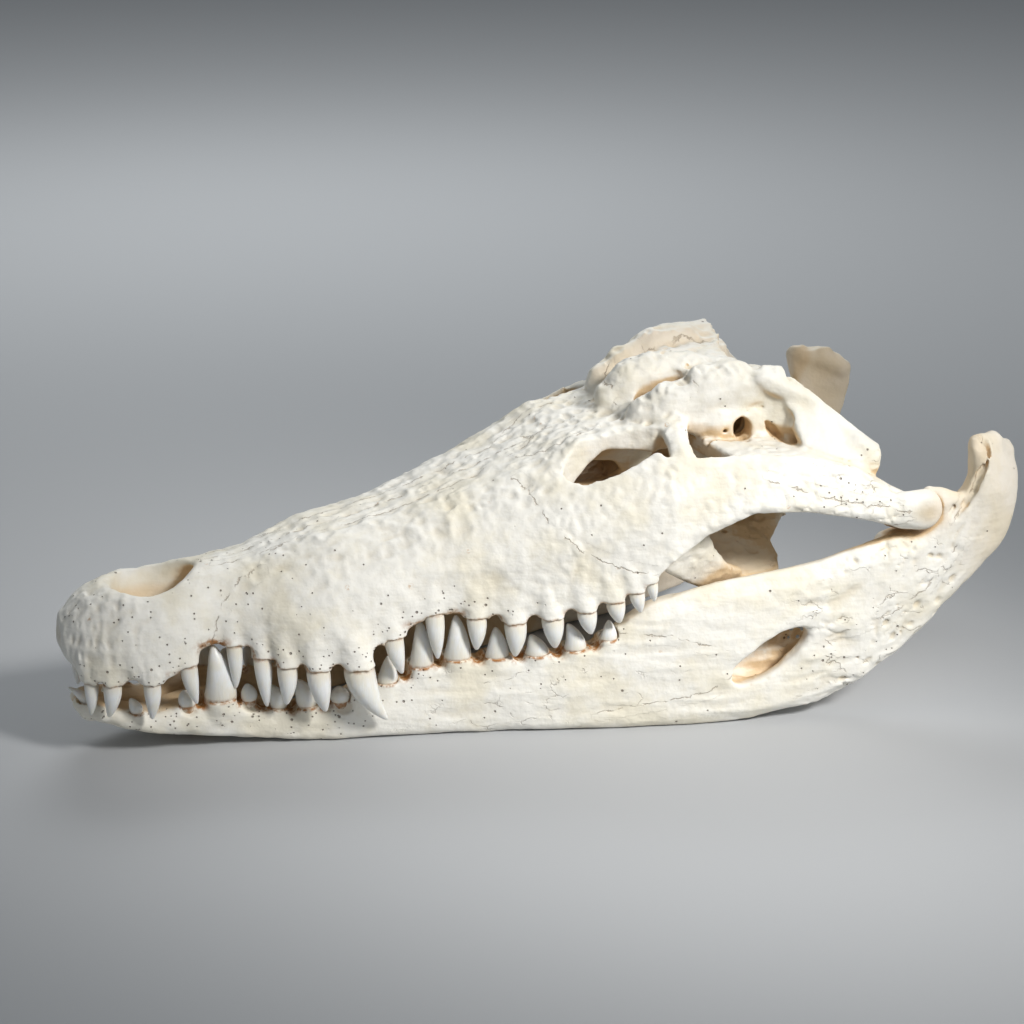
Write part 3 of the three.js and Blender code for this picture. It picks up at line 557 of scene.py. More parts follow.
def cranium_relief(p, out):
    x, lateral, _, outward = split(p, out)
    upward = out[:, 2]
    outer = ramp(-0.1, 0.35, 0.8 * outward + 0.7 * upward)
    total = 0.25 * noise(p, 5, 1)
    snout = outer * (1 - ramp(*SNOUT_END, x))
    total += snout * (0.8 * noise(p, 15, 2) + 0.35 * noise(p, 7, 3))
    wound = bent(p, 2.2, 12, 33)
    wrinkles = 1.5 * (ridges(wound, (3.8, 3.8, 10), 4) - 0.72)
    wrinkles += 0.9 * (ridges(wound, (7, 7, 16), 14) - 0.72)
    total += outer * (1 - ramp(*WRINKLES_END, x)) * wrinkles
    top = outer * ramp(0.5, 0.85, upward) * span(x, SNOUT_TOP)
    total += top * 1.7 * (ridges(p, (11, 8, 11), 5) - 0.65)
    total += top * 1.1 * (ridges(p, (6, 4.5, 6), 8) - 0.65)
    first, second = cells(p, 8.5, 6)
    flats = ramp(0.05, 0.45, second - first)  # 0 in the furrows between them
    scales = outer * span(x, SCALES) * ramp(60, 80, lateral)
    total += scales * (0.35 - 0.75 * (1 - flats)) * (0.6 + 0.6 * noise(p, 24, 15))
    roof = outer * ramp(*ROOF_START, x) * ramp(0.25, 0.6, upward)
    roof *= 1 - ramp(60, 72, lateral)
    rough = 1.7 * noise(p, 13, 7) + 1.5 * (ridges(p, (7, 6, 7), 9) - 0.65)
    total += roof * (0.6 - 1.2 * flats) + roof * ramp(*TABLE_START, x) * rough
    cheek_end = outer * span(x, CHEEK_END) * ramp(96, 108, lateral)
    total += cheek_end * (0.6 * noise(p, 8, 10) - 1.2 * cracked(p, (15, 10, 8), 11, 0.16))
    rear_side = outer * span(x, SNOUT_REAR_SIDE)
    total += rear_side * 0.5 * (ridges(p, (26, 14, 9), 12) - 0.6)
    total += outer * span(x, SKIN) * 0.4 * (ridges(p, (6, 5, 5), 13) - 0.7)
    nostril = bell(x - NOSTRIL, 24) * bell(lateral, 22)
    return total * (1 - 0.8 * np.clip(nostril * 1.6, 0, 1) * (outward < 0.2))


def jaw_relief(p, out):
    x, _, z, outward = split(p, out)
    upward = out[:, 2]
    outer = ramp(0.0, 0.4, outward)
    total = 0.2 * noise(p, 5, 21) + 0.4 * noise(p, (30, 12, 9), 22)
    across = np.hypot(x - JAW_ARC[0], z - JAW_ARC[1]) + 3.5 * noise(p, 18, 37)
    along = JAW_ARC_RADIUS * np.arctan2(x - JAW_ARC[0], JAW_ARC[1] - z) + 4 * noise(p, 16, 36)
    turned = np.stack([along, p[:, 1], across], 1).astype(np.float32)
    below_top = ramp(108, 92, z - JAW_TOP_SLOPE * (x - JAW_TOP_START))
    rear = outer * span(x, JAW_REAR) * below_top
    total += rear * 1.7 * (ridges(turned, (38, 12, 8), 23) - 0.75)
    total += rear * 1.2 * (ridges(turned, (20, 10, 4.2), 24) - 0.75)
    cracks = ramp(-0.2, 0.3, noise(p, 22, 38)) * cracked(turned, (34, 16, 9), 27, 0.12)
    total -= rear * ramp(440, 475, x) * 1.7 * cracks
    first, _ = cells(turned, (13, 9, 9), 39)
    holes = ramp(0.3, 0.12, first) * (noise(p, 30, 40) > -0.1)
    total -= rear * ramp(450, 490, x) * 2.0 * holes
    process = ramp(*PROCESS, x)
    total += outer * process * 0.9 * (ridges(p, (9, 9, 40), 28) - 0.6)
    crest = ramp(0.5, 0.9, upward) * ramp(555, 570, x)
    total += crest * 1.2 * noise(p, 5, 29)
    front = outer * (1 - ramp(*JAW_FRONT_END, x))
    total += front * (0.6 * noise(p, (9, 6, 5), 25) + 0.5 * (ridges(p, (14, 8, 4), 30) - 0.6))
    middle = outer * span(x, JAW_MIDDLE)
    total += middle * 0.9 * (ridges(p, (40, 12, 8), 26) - 0.7)
    return total + middle * 0.6 * (ridges(p, (22, 9, 4.5), 31) - 0.7)


def carve(field, relief):
    where, points, out = field.near_surface(RELIEF_REACH * VOXEL)
    field.d[where] -= relief(points, out).astype(np.float32)


# ---- age, stains and painted shade ----

RAYS = 18
RAY_LIFT = 3.5  # millimetres above the surface where the rays start
RAY_STOPS = (4, 8, 13, 19, 26, 34, 44, 56, 70)
RAY_SHADE = 1.3
STAINED_GAP = 14  # longest gap between teeth that is stained
NOTCH, NOTCH_REACH = (88, 34, 72), (13, 9, 4.5)  # where the large lower tooth stands
HINGE = (535, 136)
FRONT_BAR = (378, 84)  # x and lateral of the bone between the eye and the opening behind it
FRONT_BAR_TOP = 125


class Surroundings:
    """Where there is bone, on a coarse grid, to find how shut in a place is."""

    def __init__(self, fields):
        inside = [field.d[::COARSE, ::COARSE, ::COARSE] < 0 for field in fields]
        starts = [field.first // COARSE for field in fields]
        self.first = np.min(starts, 0)
        last = np.max([start + part.shape for start, part in zip(starts, inside)], 0)
        self.filled = np.zeros(last - self.first + 2, np.float32)
        for start, part in zip(starts, inside):
            i, j, k = (slice(a, a + n) for a, n in zip(start - self.first, part.shape))
            self.filled[i, j, k] = np.maximum(self.filled[i, j, k], part)
        self.filled = blurred(self.filled, 0.7)

    def shut_in(self, points, out):
        """From 0 in the open to 1 deep inside."""
        total, weights = np.zeros(len(points), np.float32), np.zeros(len(points), np.float32)
        limit = np.array(self.filled.shape) - 1
        start = points + RAY_LIFT * out
        for ray in range(RAYS):
            z = 1 - (2 * ray + 1) / RAYS
            turn, level = math.pi * (1 + math.sqrt(5)) * ray, math.sqrt(1 - z * z)
            way = np.array([level * math.cos(turn), level * math.sin(turn), z])
            weight = np.maximum(out @ way, 0).astype(np.float32)
            open_share = np.ones(len(points), np.float32)
            for far in RAY_STOPS:
                at = ((start + far * way) / (COARSE * VOXEL) - self.first + 0.5).astype(np.int32)
                i, j, k = np.clip(at, 0, limit).T
                open_share *= 1 - np.minimum(1, RAY_SHADE * self.filled[i, j, k])
            total += weight * (1 - open_share)
            weights += weight
        return total / np.maximum(weights, 1e-3)


def tooth_stain(points, teeth, way, side, strength):
    """Brown stain in the gaps between the teeth and round their sockets."""
    stain = np.zeros(len(points), np.float32)
    for free, (x, lateral, z) in tooth_gaps(teeth):
        if free > STAINED_GAP:
            continue
        away = points - [x, side * (lateral - 1), z - way * 1.5]
        away = away / [0.5 * free + 3.2, 8, 3.8]
        stain = np.maximum(stain, strength * np.exp(-np.sum(away * away, 1)))
    for tooth in teeth:
        gap = points - tooth_line(tooth, way, side, -0.5 / tooth.reach)
        ring = np.hypot(gap[:, 0], gap[:, 1]) - tooth.width / 2
        stain = np.maximum(stain, 0.75 * strength * bell(ring, 1.1) * bell(gap[:, 2], 1.3))
    return stain


def cranium_stain(points):
    away = (np.stack([points[:, 0], np.abs(points[:, 1]), points[:, 2]], 1) - NOTCH) / NOTCH_REACH
    rows = [tooth_stain(points, UPPER_TEETH, DOWN, side, 0.6) for side in (LEFT, RIGHT)]
    return np.maximum.reduce([*rows, 0.8 * np.exp(-np.sum(away * away, 1))])


def jaw_stain(side, teeth):
    return lambda points: tooth_stain(points, teeth, UP, side, 0.9)


def age_and_inner_shade(p, out):
    """How far the bone is tan: tan of age at the hinge and behind it; inside the head partly its
    own tan and partly painted shade; painted shade on the palate and the mouth's inner walls.
    """
    x, lateral, z, outward = split(p, out)
    medial = ramp(0.0, 0.7, -outward)
    groove = np.interp(z, [138, 147, 160, 169, 181], [554, 560, 563.5, 567, 567.5])
    before_groove = ramp(3, -3, x - groove) * ramp(128, 140, z)
    process = 0.2 * ramp(535, 578, x)
    process += ramp(520, 556, x) * (0.25 * medial + 0.22 * before_groove)
    hinge = 0.35 * bell(x - HINGE[0], 14) * bell(z - HINGE[1], 14)
    # Inner faces of the skull and snout: partly their own tan, partly painted shade.
    skull_inside = 0.35 * ramp(320, 380, x)
    snout_inside = 0.5 * (1 - ramp(330, 370, x)) * ramp(100, 92, z)
    inside = medial * (skull_inside + snout_inside)
    wing = 0.42 * ramp(388, 400, x) * ramp(482, 476, x)
    wing *= ramp(84, 78, lateral) * ramp(124, 112, z)
    nostril = 0.12 * bell(x - 62, 30) * bell(lateral, 24)
    line = np.interp(x, [t.x for t in LOWER_TEETH], [t.lateral for t in LOWER_TEETH])
    # Painted shade: the mouth's inner walls and the palate are tinted tan-brown where shade falls.
    mouth = 0.75 * ramp(6, 14, line - lateral) * span(x, (50, 80, 335, 360))
    mouth *= (z < np.interp(x, [60, 350], [55, 105])) & (out[:, 2] < 0.6)
    palate = 0.5 * ramp(-0.2, -0.7, out[:, 2]) * span(x, (60, 90, 340, 380)) * (z > 40)
    return np.maximum.reduce([process, hinge, inside, wing, nostril, palate, mouth])


def painted_shade_and_age(surroundings, p, out):
    """How far a place is painted tan: painted shade where it is shut in, and tan for its age."""
    x, lateral, z, _ = split(p, out)
    deep = surroundings.shut_in(p, out)  # counts less in the nostril, on top and at the eye's bar
    deep *= 1 - 0.4 * bell(x - 62, 26) * bell(lateral, 24) * (z > 85)
    roof = ramp(186, 194, z) * ramp(-0.1, 0.3, out[:, 2])
    front_bar = bell(x - FRONT_BAR[0], 22) * bell(lateral - FRONT_BAR[1], 16)
    deep *= (1 - 0.6 * roof) * (1 - 0.55 * front_bar * (z < FRONT_BAR_TOP))
    return np.clip(ramp(0.3, 0.92, deep) + age_and_inner_shade(p, out), 0, 1)


def crazed(p, out):
    """Where the bone's skin has fine cracks: the jaw's rear corner and the end of the cheek."""
    x, lateral, z, outward = split(p, out)
    outer = ramp(0.1, 0.5, outward)
    top = JAW_TOP_SLOPE * (x - JAW_TOP_START)
    jaw = span(x, (430, 470, 540, 560)) * ramp(top + 98, top + 84, z)
    cheek = span(x, (425, 455, 508, 514)) * ramp(98, 110, lateral) * ramp(120, 128, z)
    front = 0.45 * span(x, (180, 240, 300, 400)) * ramp(50, 40, z)
    return outer * np.maximum.reduce([0.7 * jaw, 0.6 * cheek, front])


# Seams between the bones: on the sides as (x, z), from above as (x, lateral).
SEAMS = {
    "cranium": [
        ("side", [(88, 72), (90.5, 81), (93, 90), (96, 97), (102, 101.5), (109, 108), (121, 114)]),
        ("top", [(118, 24), (128, 17), (140, 13)]),
        ("top", [(84, 0), (352, 0)]),
        ("top", [(100, 11), (150, 12.5), (200, 14), (250, 16), (285, 14), (304, 7), (312, 0)]),
        ("top", [(285, 14), (300, 27), (316, 36), (340, 30)]),
        ("side", [(352, 108), (330, 113), (308, 124), (292, 140), (284, 158), (262, 168)]),
        ("side", [(511, 133), (497, 129), (480, 131)]),
        ("side", [(513, 139), (480, 146), (450, 154), (424, 163)]),
        ("top", [(360, 0), (364, 18), (374, 30)]),
        ("top", [(404, 62), (398, 46), (400, 34)]),
        ("top", [(404, 30), (432, 33), (466, 27)]),
    ],
    "mandible": [
        ("side", [(296, 60), (330, 66), (365, 64), (404, 52)]),
        ("side", [(322, 14), (360, 20), (390, 26), (404, 36)]),
        ("side", [(455, 60), (478, 62), (505, 70), (528, 86), (548, 112)]),
        ("side", [(567.5, 181), (566.5, 169), (563, 160), (559.5, 147), (554, 138), (547, 130)]),
    ],
}
SEAM_REACH = 6


def seam_distance(p, out, seams):
    """Distance from the nearest seam in millimetres, below 0 on one side of it."""
    x, lateral, z, outward = split(p, out)
    nearest = np.full(len(p), SEAM_REACH, np.float32)
    for view, corners in seams:
        seen = outward > 0.25 if view == "side" else out[:, 2] > 0.3
        flat = np.stack([x, z if view == "side" else lateral], 1)
        for a, b in zip(np.array(corners[:-1], float), np.array(corners[1:], float)):
            along, gap = b - a, flat - a
            t = np.clip(gap @ along / (along @ along), 0, 1)
            away = np.linalg.norm(gap - t[:, None] * along, axis=1)
            sign = np.where(along[0] * gap[:, 1] - along[1] * gap[:, 0] < 0, -1, 1)
            closer = seen & (away < np.abs(nearest))
            nearest[closer] = (away * sign)[closer]
    return nearest


def collar_height(x, teeth):
    return np.interp(x, [tooth.x for tooth in teeth], [tooth.z for tooth in teeth])


def cranium_pits(p, out):
    """The share of places that have a pit: most above the teeth and on the snout's front."""
    x, lateral, z, outward = split(p, out)
    outer = ramp(-0.1, 0.4, outward + 0.6 * out[:, 2])
    near_teeth = ramp(24, 8, z - collar_height(x, UPPER_TEETH))
    near_teeth *= 0.9 * (1 - ramp(200, 330, x))
    front = 0.28 * (1 - ramp(90, 200, x))
    cheek_end = 0.3 * span(x, (425, 460, 505, 513)) * ramp(98, 106, lateral)
    return outer * np.maximum.reduce([near_teeth, front, cheek_end, np.full(len(x), 0.04)])


def jaw_pits(p, out):
    """The share of places that have a pit: most below the front teeth and at the rear corner."""
    x, _, z, outward = split(p, out)
    near_teeth = ramp(30, 6, collar_height(x, LOWER_TEETH) - z)
    near_teeth *= (1 - ramp(300, 360, x)) * (1 - 0.6 * ramp(150, 260, x))
    corner = 0.22 * span(x, (440, 480, 530, 550)) * ramp(95, 75, z)
    shares = np.maximum.reduce([near_teeth, corner, np.full(len(x), 0.05)])
    return ramp(0.0, 0.4, outward) * shares


# ---- meshes ----

SQUEEZE = 2.5  # how near the frame's box bulges begin to be held back
SQUEEZE_LIMIT = 0.98  # how much of that room they may fill


def row_frame(points):
    return (points - ORIGIN) * MM


def new_object(name, points, faces, look):
    """faces is a list of lists of corners, or an array of quads."""
    sizes = np.array([len(face) for face in faces])
    corners = np.concatenate(faces) if isinstance(faces, list) else faces.ravel()
    mesh = bpy.data.meshes.new(name)
    mesh.vertices.add(len(points))
    mesh.vertices.foreach_set("co", row_frame(points).astype(np.float32).ravel())
    mesh.loops.add(len(corners))
    mesh.loops.foreach_set("vertex_index", corners.astype(np.int32))
    mesh.polygons.add(len(sizes))
    mesh.polygons.foreach_set("loop_start", (np.cumsum(sizes) - sizes).astype(np.int32))
    mesh.update(calc_edges=True)
    mesh.validate()
    mesh.shade_smooth()
    mesh.materials.append(look)
    piece = bpy.data.objects.new(name, mesh)
    bpy.context.scene.collection.objects.link(piece)
    return piece


def set_value(piece, name, values):
    attribute = piece.data.attributes.new(name, "FLOAT", "POINT")
    attribute.data.foreach_set("value", np.asarray(values, np.float32))


def evened(points, quads, rounds=2, share=0.55):
    """Moves each point towards the middle of its neighbours, to take away the grid's terraces."""
    a = np.concatenate([quads[:, k] for k in range(4)])
    b = np.concatenate([quads[:, (k + 1) % 4] for k in range(4)])
    count = np.bincount(a, minlength=len(points)).astype(np.float32)
    for _ in range(rounds):
        middle = np.stack([np.bincount(a, points[b, k], len(points)) for k in range(3)], 1)
        middle /= np.maximum(count, 1)[:, None]
        points = points + share * (middle - points).astype(np.float32)
    return points


def held_in(points):
    """Presses what would stick out of the frame's box back into it, on all sides but the floor's,
    where the points are lifted to the floor."""
    low, high = (np.array(corner) / MM + ORIGIN for corner in cad_box)
    out_high = np.maximum(points - (high - SQUEEZE), 0)
    out_low = np.maximum(low + SQUEEZE - points, 0)
    out_low[:, 2] = 0
    room = SQUEEZE_LIMIT * SQUEEZE
    points = points - out_high + room * (1 - np.exp(-out_high / SQUEEZE))
    points = (points + out_low - room * (1 - np.exp(-out_low / SQUEEZE))).astype(np.float32)
    points[:, 2] = np.maximum(points[:, 2], FLOOR_Z)
    return points


def bone(name, node, field, surroundings, pits, stain):
    for axis in range(3):
        ends = [slice(None)] * 3
        ends[axis] = [0, -1]
        field.d[tuple(ends)] = BAND * VOXEL
    grid = openvdb.FloatGrid(BAND * VOXEL)
    grid.copyFromArray(np.ascontiguousarray(field.d), ijk=field.corner())
    grid.transform = openvdb.createLinearTransform(VOXEL)
    points, _, quads = grid.convertToPolygons(0.0, 0.0)
    quads = np.asarray(quads)
    points = held_in(evened(np.asarray(points, np.float32), quads))
    piece = new_object(name, points, quads, bone_look)
    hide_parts(node)
    out = np.empty(len(points) * 3, np.float32)
    piece.data.vertices.foreach_get("normal", out)
    out = out.reshape(-1, 3)
    # Painted shade in creases: above 0 where the surface curves inwards, and those places are
    # tinted tan.
    crease_shade = -field.sample(blurred(field.d, 3.0 / VOXEL), points)
    # deep: painted shade in shut-in places, together with tan of age and painted shade in the mouth
    set_value(piece, "deep", painted_shade_and_age(surroundings, points, out))
    set_value(piece, "crazed", crazed(points, out))
    set_value(piece, "line", seam_distance(points, out, SEAMS[node.split("_")[0]]))
    set_value(piece, "crease_shade", np.clip(crease_shade / 1.6, 0, 1))
    set_value(piece, "pits", pits(points, out))
    set_value(piece, "stain", stain(points))
    return piece


def tooth_row(name, node, teeth, way, sides):
    points, faces, heights = [], [], []
    start = 0
    for side in sides:
        for number, tooth in enumerate(teeth):
            p, corners, h = tooth_mesh(tooth, way, side, 7 * number + 3 * side + 50)
            points.append(p)
            faces.extend([corner + start for corner in face] for face in corners)
            heights.append(h)
            start += len(p)
    piece = new_object(name, np.concatenate(points), faces, enamel_look)
    set_value(piece, "height", np.concatenate(heights))
    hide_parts(node)
    return piece


# ---- materials ----

IVORY = (0.86, 0.84, 0.775)
CREAM = (0.82, 0.77, 0.635)
# Painted shade in creases.
CREASE_SHADE_TAN = (0.55, 0.44, 0.27)
# Painted shade: this tan stands for shade in shut-in places and partly for tan of age; this brown
# for shade in the most shut-in ones.
TAN_SHADE_AND_AGE = (0.70, 0.525, 0.32)
SHADE_BROWN = (0.27, 0.155, 0.075)
RUST = (0.37, 0.165, 0.05)
SPECK_RUST = (0.50, 0.27, 0.10)
SEAM_BROWN = (0.36, 0.26, 0.16)
CRACK_BROWN = (0.45, 0.33, 0.19)
# Painted shade inside the pits, which are only a bump.
PIT_SHADE = (0.10, 0.055, 0.03)
ENAMEL_WHITE, ENAMEL_CREAM = (0.80, 0.81, 0.80), (0.78, 0.76, 0.68)
NECK_TAN, NECK_BROWN = (0.74, 0.66, 0.50), (0.36, 0.17, 0.06)
FLOOR_GREY = (0.455, 0.465, 0.475)


def set_inputs(node, values):
    for name, value in values.items():
        node.inputs[name].default_value = value


def new_material(name, roughness, specular):
    made = bpy.data.materials.new(name)
    made.use_nodes = True
    shader = made.node_tree.nodes["Principled BSDF"]
    set_inputs(shader, {"Roughness": roughness, "Specular IOR Level": specular})
    return made, made.node_tree, shader


def mapped(tree, value, low, high, to_low=0.0, to_high=1.0, smooth=True):
    node = tree.nodes.new("ShaderNodeMapRange")
    node.interpolation_type = "SMOOTHSTEP" if smooth else "LINEAR"
    tree.links.new(value, node.inputs["Value"])
    set_inputs(node, {"From Min": low, "From Max": high, "To Min": to_low, "To Max": to_high})
    return node.outputs["Result"]


def plain_math(tree, operation, *values):
    node = tree.nodes.new("ShaderNodeMath")
    node.operation = operation
    for socket, value in zip(node.inputs, values):
        if isinstance(value, (int, float)):
            socket.default_value = value
        else:
            tree.links.new(value, socket)
    return node.outputs["Value"]


def times(tree, first, second):
    return plain_math(tree, "MULTIPLY", first, second)


def mixed(tree, factor, first, second):
    """first and second are colours, as numbers or as outputs."""
    node = tree.nodes.new("ShaderNodeMix")
    node.data_type = "RGBA"
    tree.links.new(factor, node.inputs["Factor"])
    for socket, value in ((node.inputs[6], first), (node.inputs[7], second)):
        if isinstance(value, tuple):
            socket.default_value = (*value, 1)
        else:
            tree.links.new(value, socket)
    return node.outputs[2]


def attribute(tree, name):
    node = tree.nodes.new("ShaderNodeAttribute")
    node.attribute_name = name
    return node.outputs["Fac"]


def place(tree, stretch):
    """Where a point is, in millimetres divided by stretch."""
    coordinates = tree.nodes.new("ShaderNodeTexCoord")
    mapping = tree.nodes.new("ShaderNodeMapping")
    mapping.inputs["Scale"].default_value = [1 / (MM * part) for part in stretch]
    tree.links.new(coordinates.outputs["Object"], mapping.inputs["Vector"])
    return mapping.outputs["Vector"]


def texture(tree, kind, where):
    node = tree.nodes.new(kind)
    node.inputs["Scale"].default_value = 1
    tree.links.new(where, node.inputs["Vector"])
    return node


def grain(tree, size, detail=3.0, rough=0.55):
    """Noise from about 0.2 to 0.8, its grain in millimetres, one number or one for each axis."""
    stretch = size if isinstance(size, tuple) else (size,) * 3
    node = texture(tree, "ShaderNodeTexNoise", place(tree, stretch))
    set_inputs(node, {"Detail": detail, "Roughness": rough})
    return node.outputs["Fac"]


def scattered_pits(tree, spacing, radius, share):
    """1 inside small round pits. share is how many of the places have one."""
    node = texture(tree, "ShaderNodeTexVoronoi", place(tree, (spacing,) * 3))
    inside = mapped(tree, node.outputs["Distance"], radius / spacing, 0.45 * radius / spacing)
    channels = tree.nodes.new("ShaderNodeSeparateColor")
    tree.links.new(node.outputs["Color"], channels.inputs["Color"])
    return times(tree, inside, plain_math(tree, "LESS_THAN", channels.outputs["Red"], share))


def relief_normal(tree, shader, height):
    """height is in millimetres."""
    bump = tree.nodes.new("ShaderNodeBump")
    set_inputs(bump, {"Strength": 1, "Distance": MM})
    tree.links.new(height, bump.inputs["Height"])
    tree.links.new(bump.outputs["Normal"], shader.inputs["Normal"])


def crack_lines(tree):
    """1 on thin broken lines, where the attribute crazed allows them."""
    warp = texture(tree, "ShaderNodeTexNoise", place(tree, (9, 9, 9)))
    warp.inputs["Detail"].default_value = 3
    wound = tree.nodes.new("ShaderNodeVectorMath")
    wound.operation = "MULTIPLY_ADD"
    tree.links.new(warp.outputs["Color"], wound.inputs[0])
    wound.inputs[1].default_value = (0.9, 0.9, 0.9)
    tree.links.new(place(tree, (30, 16, 12)), wound.inputs[2])
    cracks = texture(tree, "ShaderNodeTexVoronoi", wound.outputs["Vector"])
    cracks.feature = "DISTANCE_TO_EDGE"
    lines = mapped(tree, cracks.outputs["Distance"], 0.026, 0.006)
    unbroken = mapped(tree, grain(tree, (20, 11, 11), 3), 0.5, 0.62)
    return times(tree, times(tree, lines, unbroken), attribute(tree, "crazed"))


def seam_lines(tree):
    """1 on the seams, which waver and are broken in places."""
    wave = plain_math(tree, "MULTIPLY_ADD", grain(tree, 5, 4, 0.6), 7.0, -3.5)
    away = plain_math(tree, "ABSOLUTE", plain_math(tree, "ADD", attribute(tree, "line"), wave))
    unbroken = mapped(tree, grain(tree, 11, 2), 0.42, 0.55)
    return times(tree, mapped(tree, away, 0.55, 0.12), unbroken)


def bone_colour_and_shade(tree):
    """Ivory to cream bone, with painted shade: tan in creases and shut-in places (tan of age too),
    brown in the most shut-in; rusty where stained.
    """
    patches = mapped(tree, grain(tree, 38, 4), 0.42, 0.68)
    colour = mixed(tree, patches, IVORY, CREAM)
    freckles = mapped(tree, grain(tree, 7, 5, 0.65), 0.45, 0.8)
    colour = mixed(tree, times(tree, freckles, 0.45), colour, CREAM)
    # Painted shade: creases are tinted tan.
    colour = mixed(tree, times(tree, attribute(tree, "crease_shade"), 0.6), colour, CREASE_SHADE_TAN)
    uneven = mapped(tree, grain(tree, 30, 3), 0.25, 0.75, 0.86, 1.08)
    # Painted shade: shut-in places are darkened to tan and then to brown.
    deep = times(tree, attribute(tree, "deep"), uneven)
    colour = mixed(tree, mapped(tree, deep, 0.02, 0.7, 0, 1, False), colour, TAN_SHADE_AND_AGE)
    colour = mixed(tree, mapped(tree, deep, 0.85, 1.3, 0, 0.85), colour, SHADE_BROWN)
    blotches = mapped(tree, grain(tree, 4, 4, 0.6), 0.3, 0.62, 0.15, 1.25)
    stain = times(tree, attribute(tree, "stain"), blotches)
    return mixed(tree, mapped(tree, stain, 0.06, 0.75), colour, RUST)


def bone_material():
    made, tree, shader = new_material("dry_bone", 0.6, 0.35)
    share = attribute(tree, "pits")
    small = scattered_pits(tree, 3.7, 0.75, share)
    large = scattered_pits(tree, 7.0, 1.1, times(tree, share, 0.7))
    pits = plain_math(tree, "MAXIMUM", small, large)
    speck_noise = mapped(tree, grain(tree, 1.6, 3), 0.42, 0.6)
    specks = times(tree, scattered_pits(tree, 19.0, 2.4, 0.18), speck_noise)
    seams, cracks = seam_lines(tree), crack_lines(tree)
    colour = bone_colour_and_shade(tree)
    # The pits' near-black is painted shade in holes that are only a bump; seams, cracks and specks
    # are the bone's own marks.
    for mark, share, mark_colour in (
        (pits, 0.72, PIT_SHADE),
        (seams, 0.5, SEAM_BROWN),
        (cracks, 0.42, CRACK_BROWN),
        (specks, 0.6, SPECK_RUST),
    ):
        colour = mixed(tree, times(tree, mark, share), colour, mark_colour)
    tree.links.new(colour, shader.inputs["Base Color"])
    coarse = times(tree, grain(tree, 4.5, 2, 0.5), 0.5)
    streaks = times(tree, grain(tree, (14, 4, 2.6), 1), 0.25)
    height = plain_math(tree, "ADD", coarse, streaks)
    for mark, depth in ((pits, 0.9), (seams, 0.5), (cracks, 1.1)):
        height = plain_math(tree, "SUBTRACT", height, times(tree, mark, depth))
    relief_normal(tree, shader, height)
    roughness = mapped(tree, grain(tree, 9, 3), 0.3, 0.7, 0.5, 0.72)
    tree.links.new(roughness, shader.inputs["Roughness"])
    return made


def enamel_material():
    made, tree, shader = new_material("enamel", 0.3, 0.5)
    height = attribute(tree, "height")
    clouds = mapped(tree, grain(tree, (5, 5, 12), 4), 0.35, 0.7)
    colour = mixed(tree, clouds, ENAMEL_WHITE, ENAMEL_CREAM)
    low = mapped(tree, height, 0.34, 0.0)
    colour = mixed(tree, times(tree, low, 0.5), colour, NECK_TAN)
    rim_noise = mapped(tree, grain(tree, 3, 4), 0.3, 0.65, 0.2, 1.2)
    rim = times(tree, mapped(tree, height, 0.07, -0.02), rim_noise)
    colour = mixed(tree, times(tree, rim, 0.8), colour, NECK_BROWN)
    tree.links.new(colour, shader.inputs["Base Color"])
    relief_normal(tree, shader, times(tree, grain(tree, (0.9, 0.9, 9), 3), 0.16))
    set_inputs(shader, {"Subsurface Weight": 0.12, "Subsurface Scale": 2 * MM})
    set_inputs(shader, {"Subsurface Radius": (0.8, 0.6, 0.4)})
    return made


# ---- the skull ----

bone_look = bone_material()
enamel_look = enamel_material()

cranium = cranium_shape()
jaws = {
    LEFT: jaw_shape("mandible_left", LEFT, LOWER_TEETH),
    RIGHT: jaw_shape("mandible_right", RIGHT, RIGHT_LOWER_TEETH),
}
carve(cranium, cranium_relief)
for jaw in jaws.values():
    carve(jaw, jaw_relief)

around = Surroundings([cranium, *jaws.values()])
left_stain, right_stain = jaw_stain(LEFT, LOWER_TEETH), jaw_stain(RIGHT, RIGHT_LOWER_TEETH)
pieces = [
    bone("cranium_bone", "cranium", cranium, around, cranium_pits, cranium_stain),
    bone("mandible_left_bone", "mandible_left", jaws[LEFT], around, jaw_pits, left_stain),
    bone("mandible_right_bone", "mandible_right", jaws[RIGHT], around, jaw_pits, right_stain),
    tooth_row("upper_teeth", "cranium", UPPER_TEETH, DOWN, (LEFT, RIGHT)),
    tooth_row("lower_teeth_left", "mandible_left", LOWER_TEETH, UP, (LEFT,)),
    tooth_row("lower_teeth_right", "mandible_right", RIGHT_LOWER_TEETH, UP, (RIGHT,)),
]
for piece in pieces:
    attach(piece, "root")

# ---- floor, light and camera ----

FLOOR_CORNERS = [(-8, -8, 0), (8, -8, 0), (8, 12, 0), (-8, 12, 0)]
WARM, COOL, COOLER = (1.0, 0.985, 0.965), (0.97, 0.99, 1.0), (0.95, 0.98, 1.0)
WORLD_COLOUR, WORLD_STRENGTH = (0.75, 0.8, 0.85, 1), 0.24
LOOKED_AT = (296.0, 0.0, 121.6)
AZIMUTH, ELEVATION, DISTANCE = math.radians(-20.0), math.radians(18.9), 1.4
PHOTO_WIDTH, FOCAL_PIXELS = 1024, 2160
SENSOR = 36

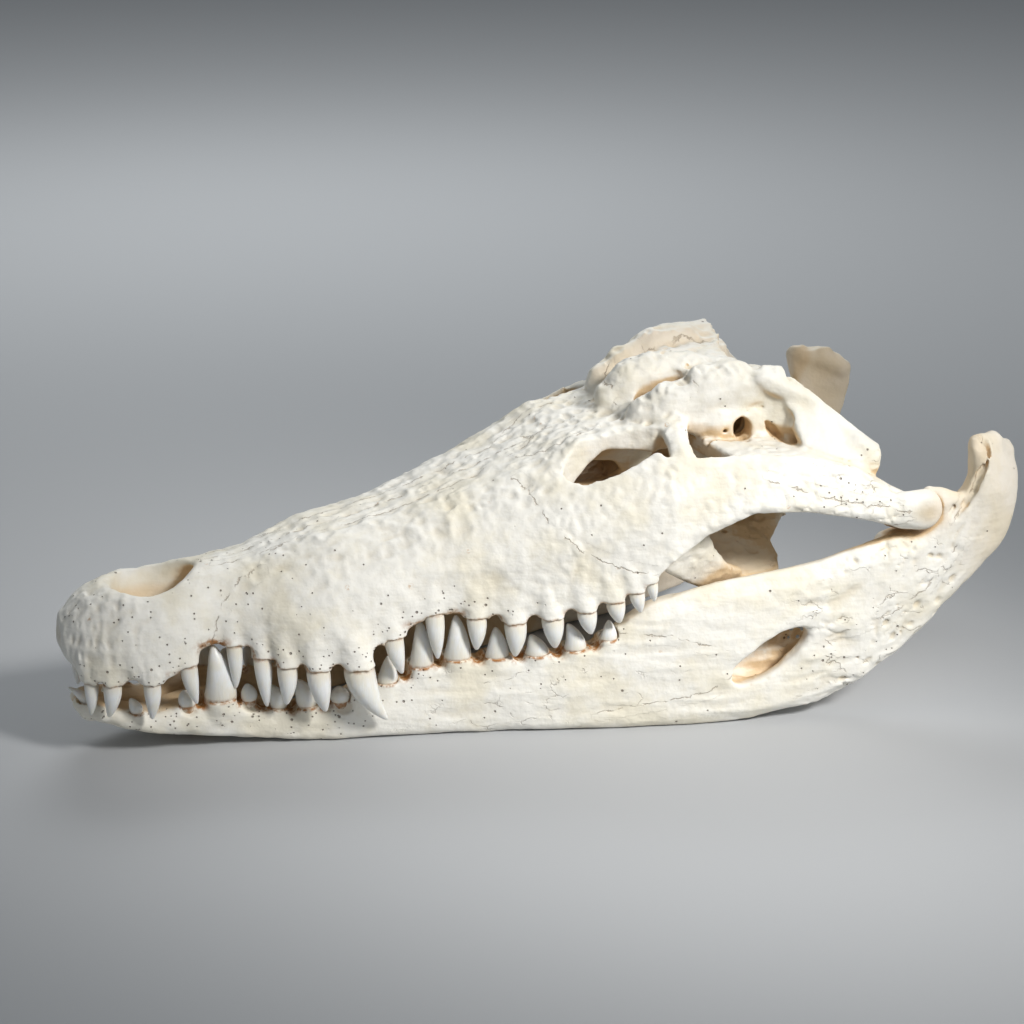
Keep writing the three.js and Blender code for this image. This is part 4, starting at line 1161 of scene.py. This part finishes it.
floor_mesh = bpy.data.meshes.new("floor")
floor_mesh.from_pydata(FLOOR_CORNERS, [], [(0, 1, 2, 3)])
floor = bpy.data.objects.new("floor", floor_mesh)
bpy.context.scene.collection.objects.link(floor)
floor_look, _, floor_shader = new_material("floor_paper", 0.9, 0.1)
set_inputs(floor_shader, {"Base Color": (*FLOOR_GREY, 1)})
floor_mesh.materials.append(floor_look)


def aim(thing, at, back):
    """Puts a light or camera at a place, looking away from back."""
    thing.location = at
    thing.rotation_euler = (-back).to_track_quat("-Z", "Y").to_euler()
    bpy.context.scene.collection.objects.link(thing)


def new_light(name, kind, at, towards, power, colour):
    data = bpy.data.lights.new(name, kind)
    data.energy = power
    data.color = colour
    aim(bpy.data.objects.new(name, data), at, Vector(at) - Vector(towards))
    return data


key = new_light("key", "SPOT", (0.62, -1.2, 1.16), (0.055, -0.13, 0.05), 147, WARM)
key.shadow_soft_size = 0.2
key.spot_size = math.radians(29)
key.spot_blend = 1
for name, at, towards, size, power, colour in (
    ("fill", (-1.0, -1.9, 1.0), (0, 0, 0.1), 1.2, 2.2, COOLER),
    ("far", (0.6, 2.4, 2.8), (0.4, 3.2, 0), 2.5, 24, COOL),
    ("behind", (0.2, 1.6, 1.5), (0.15, 1.2, 0), 1.1, 15, COOL),
):
    disk = new_light(name, "AREA", at, towards, power, colour)
    disk.shape = "DISK"
    disk.size = size

world = bpy.data.worlds.new("studio")
world.use_nodes = True
background = world.node_tree.nodes["Background"]
set_inputs(background, {"Color": WORLD_COLOUR, "Strength": WORLD_STRENGTH})
bpy.context.scene.world = world
bpy.context.scene.view_settings.view_transform = "Standard"

camera_data = bpy.data.cameras.new("camera")
camera_data.sensor_width = SENSOR
camera_data.lens = SENSOR * FOCAL_PIXELS / PHOTO_WIDTH
camera = bpy.data.objects.new("camera", camera_data)
level = math.cos(ELEVATION)
back = Vector((math.sin(AZIMUTH) * level, -math.cos(AZIMUTH) * level, math.sin(ELEVATION)))
aim(camera, Vector(row_frame(np.array(LOOKED_AT))) + DISTANCE * back, back)
bpy.context.scene.camera = camera
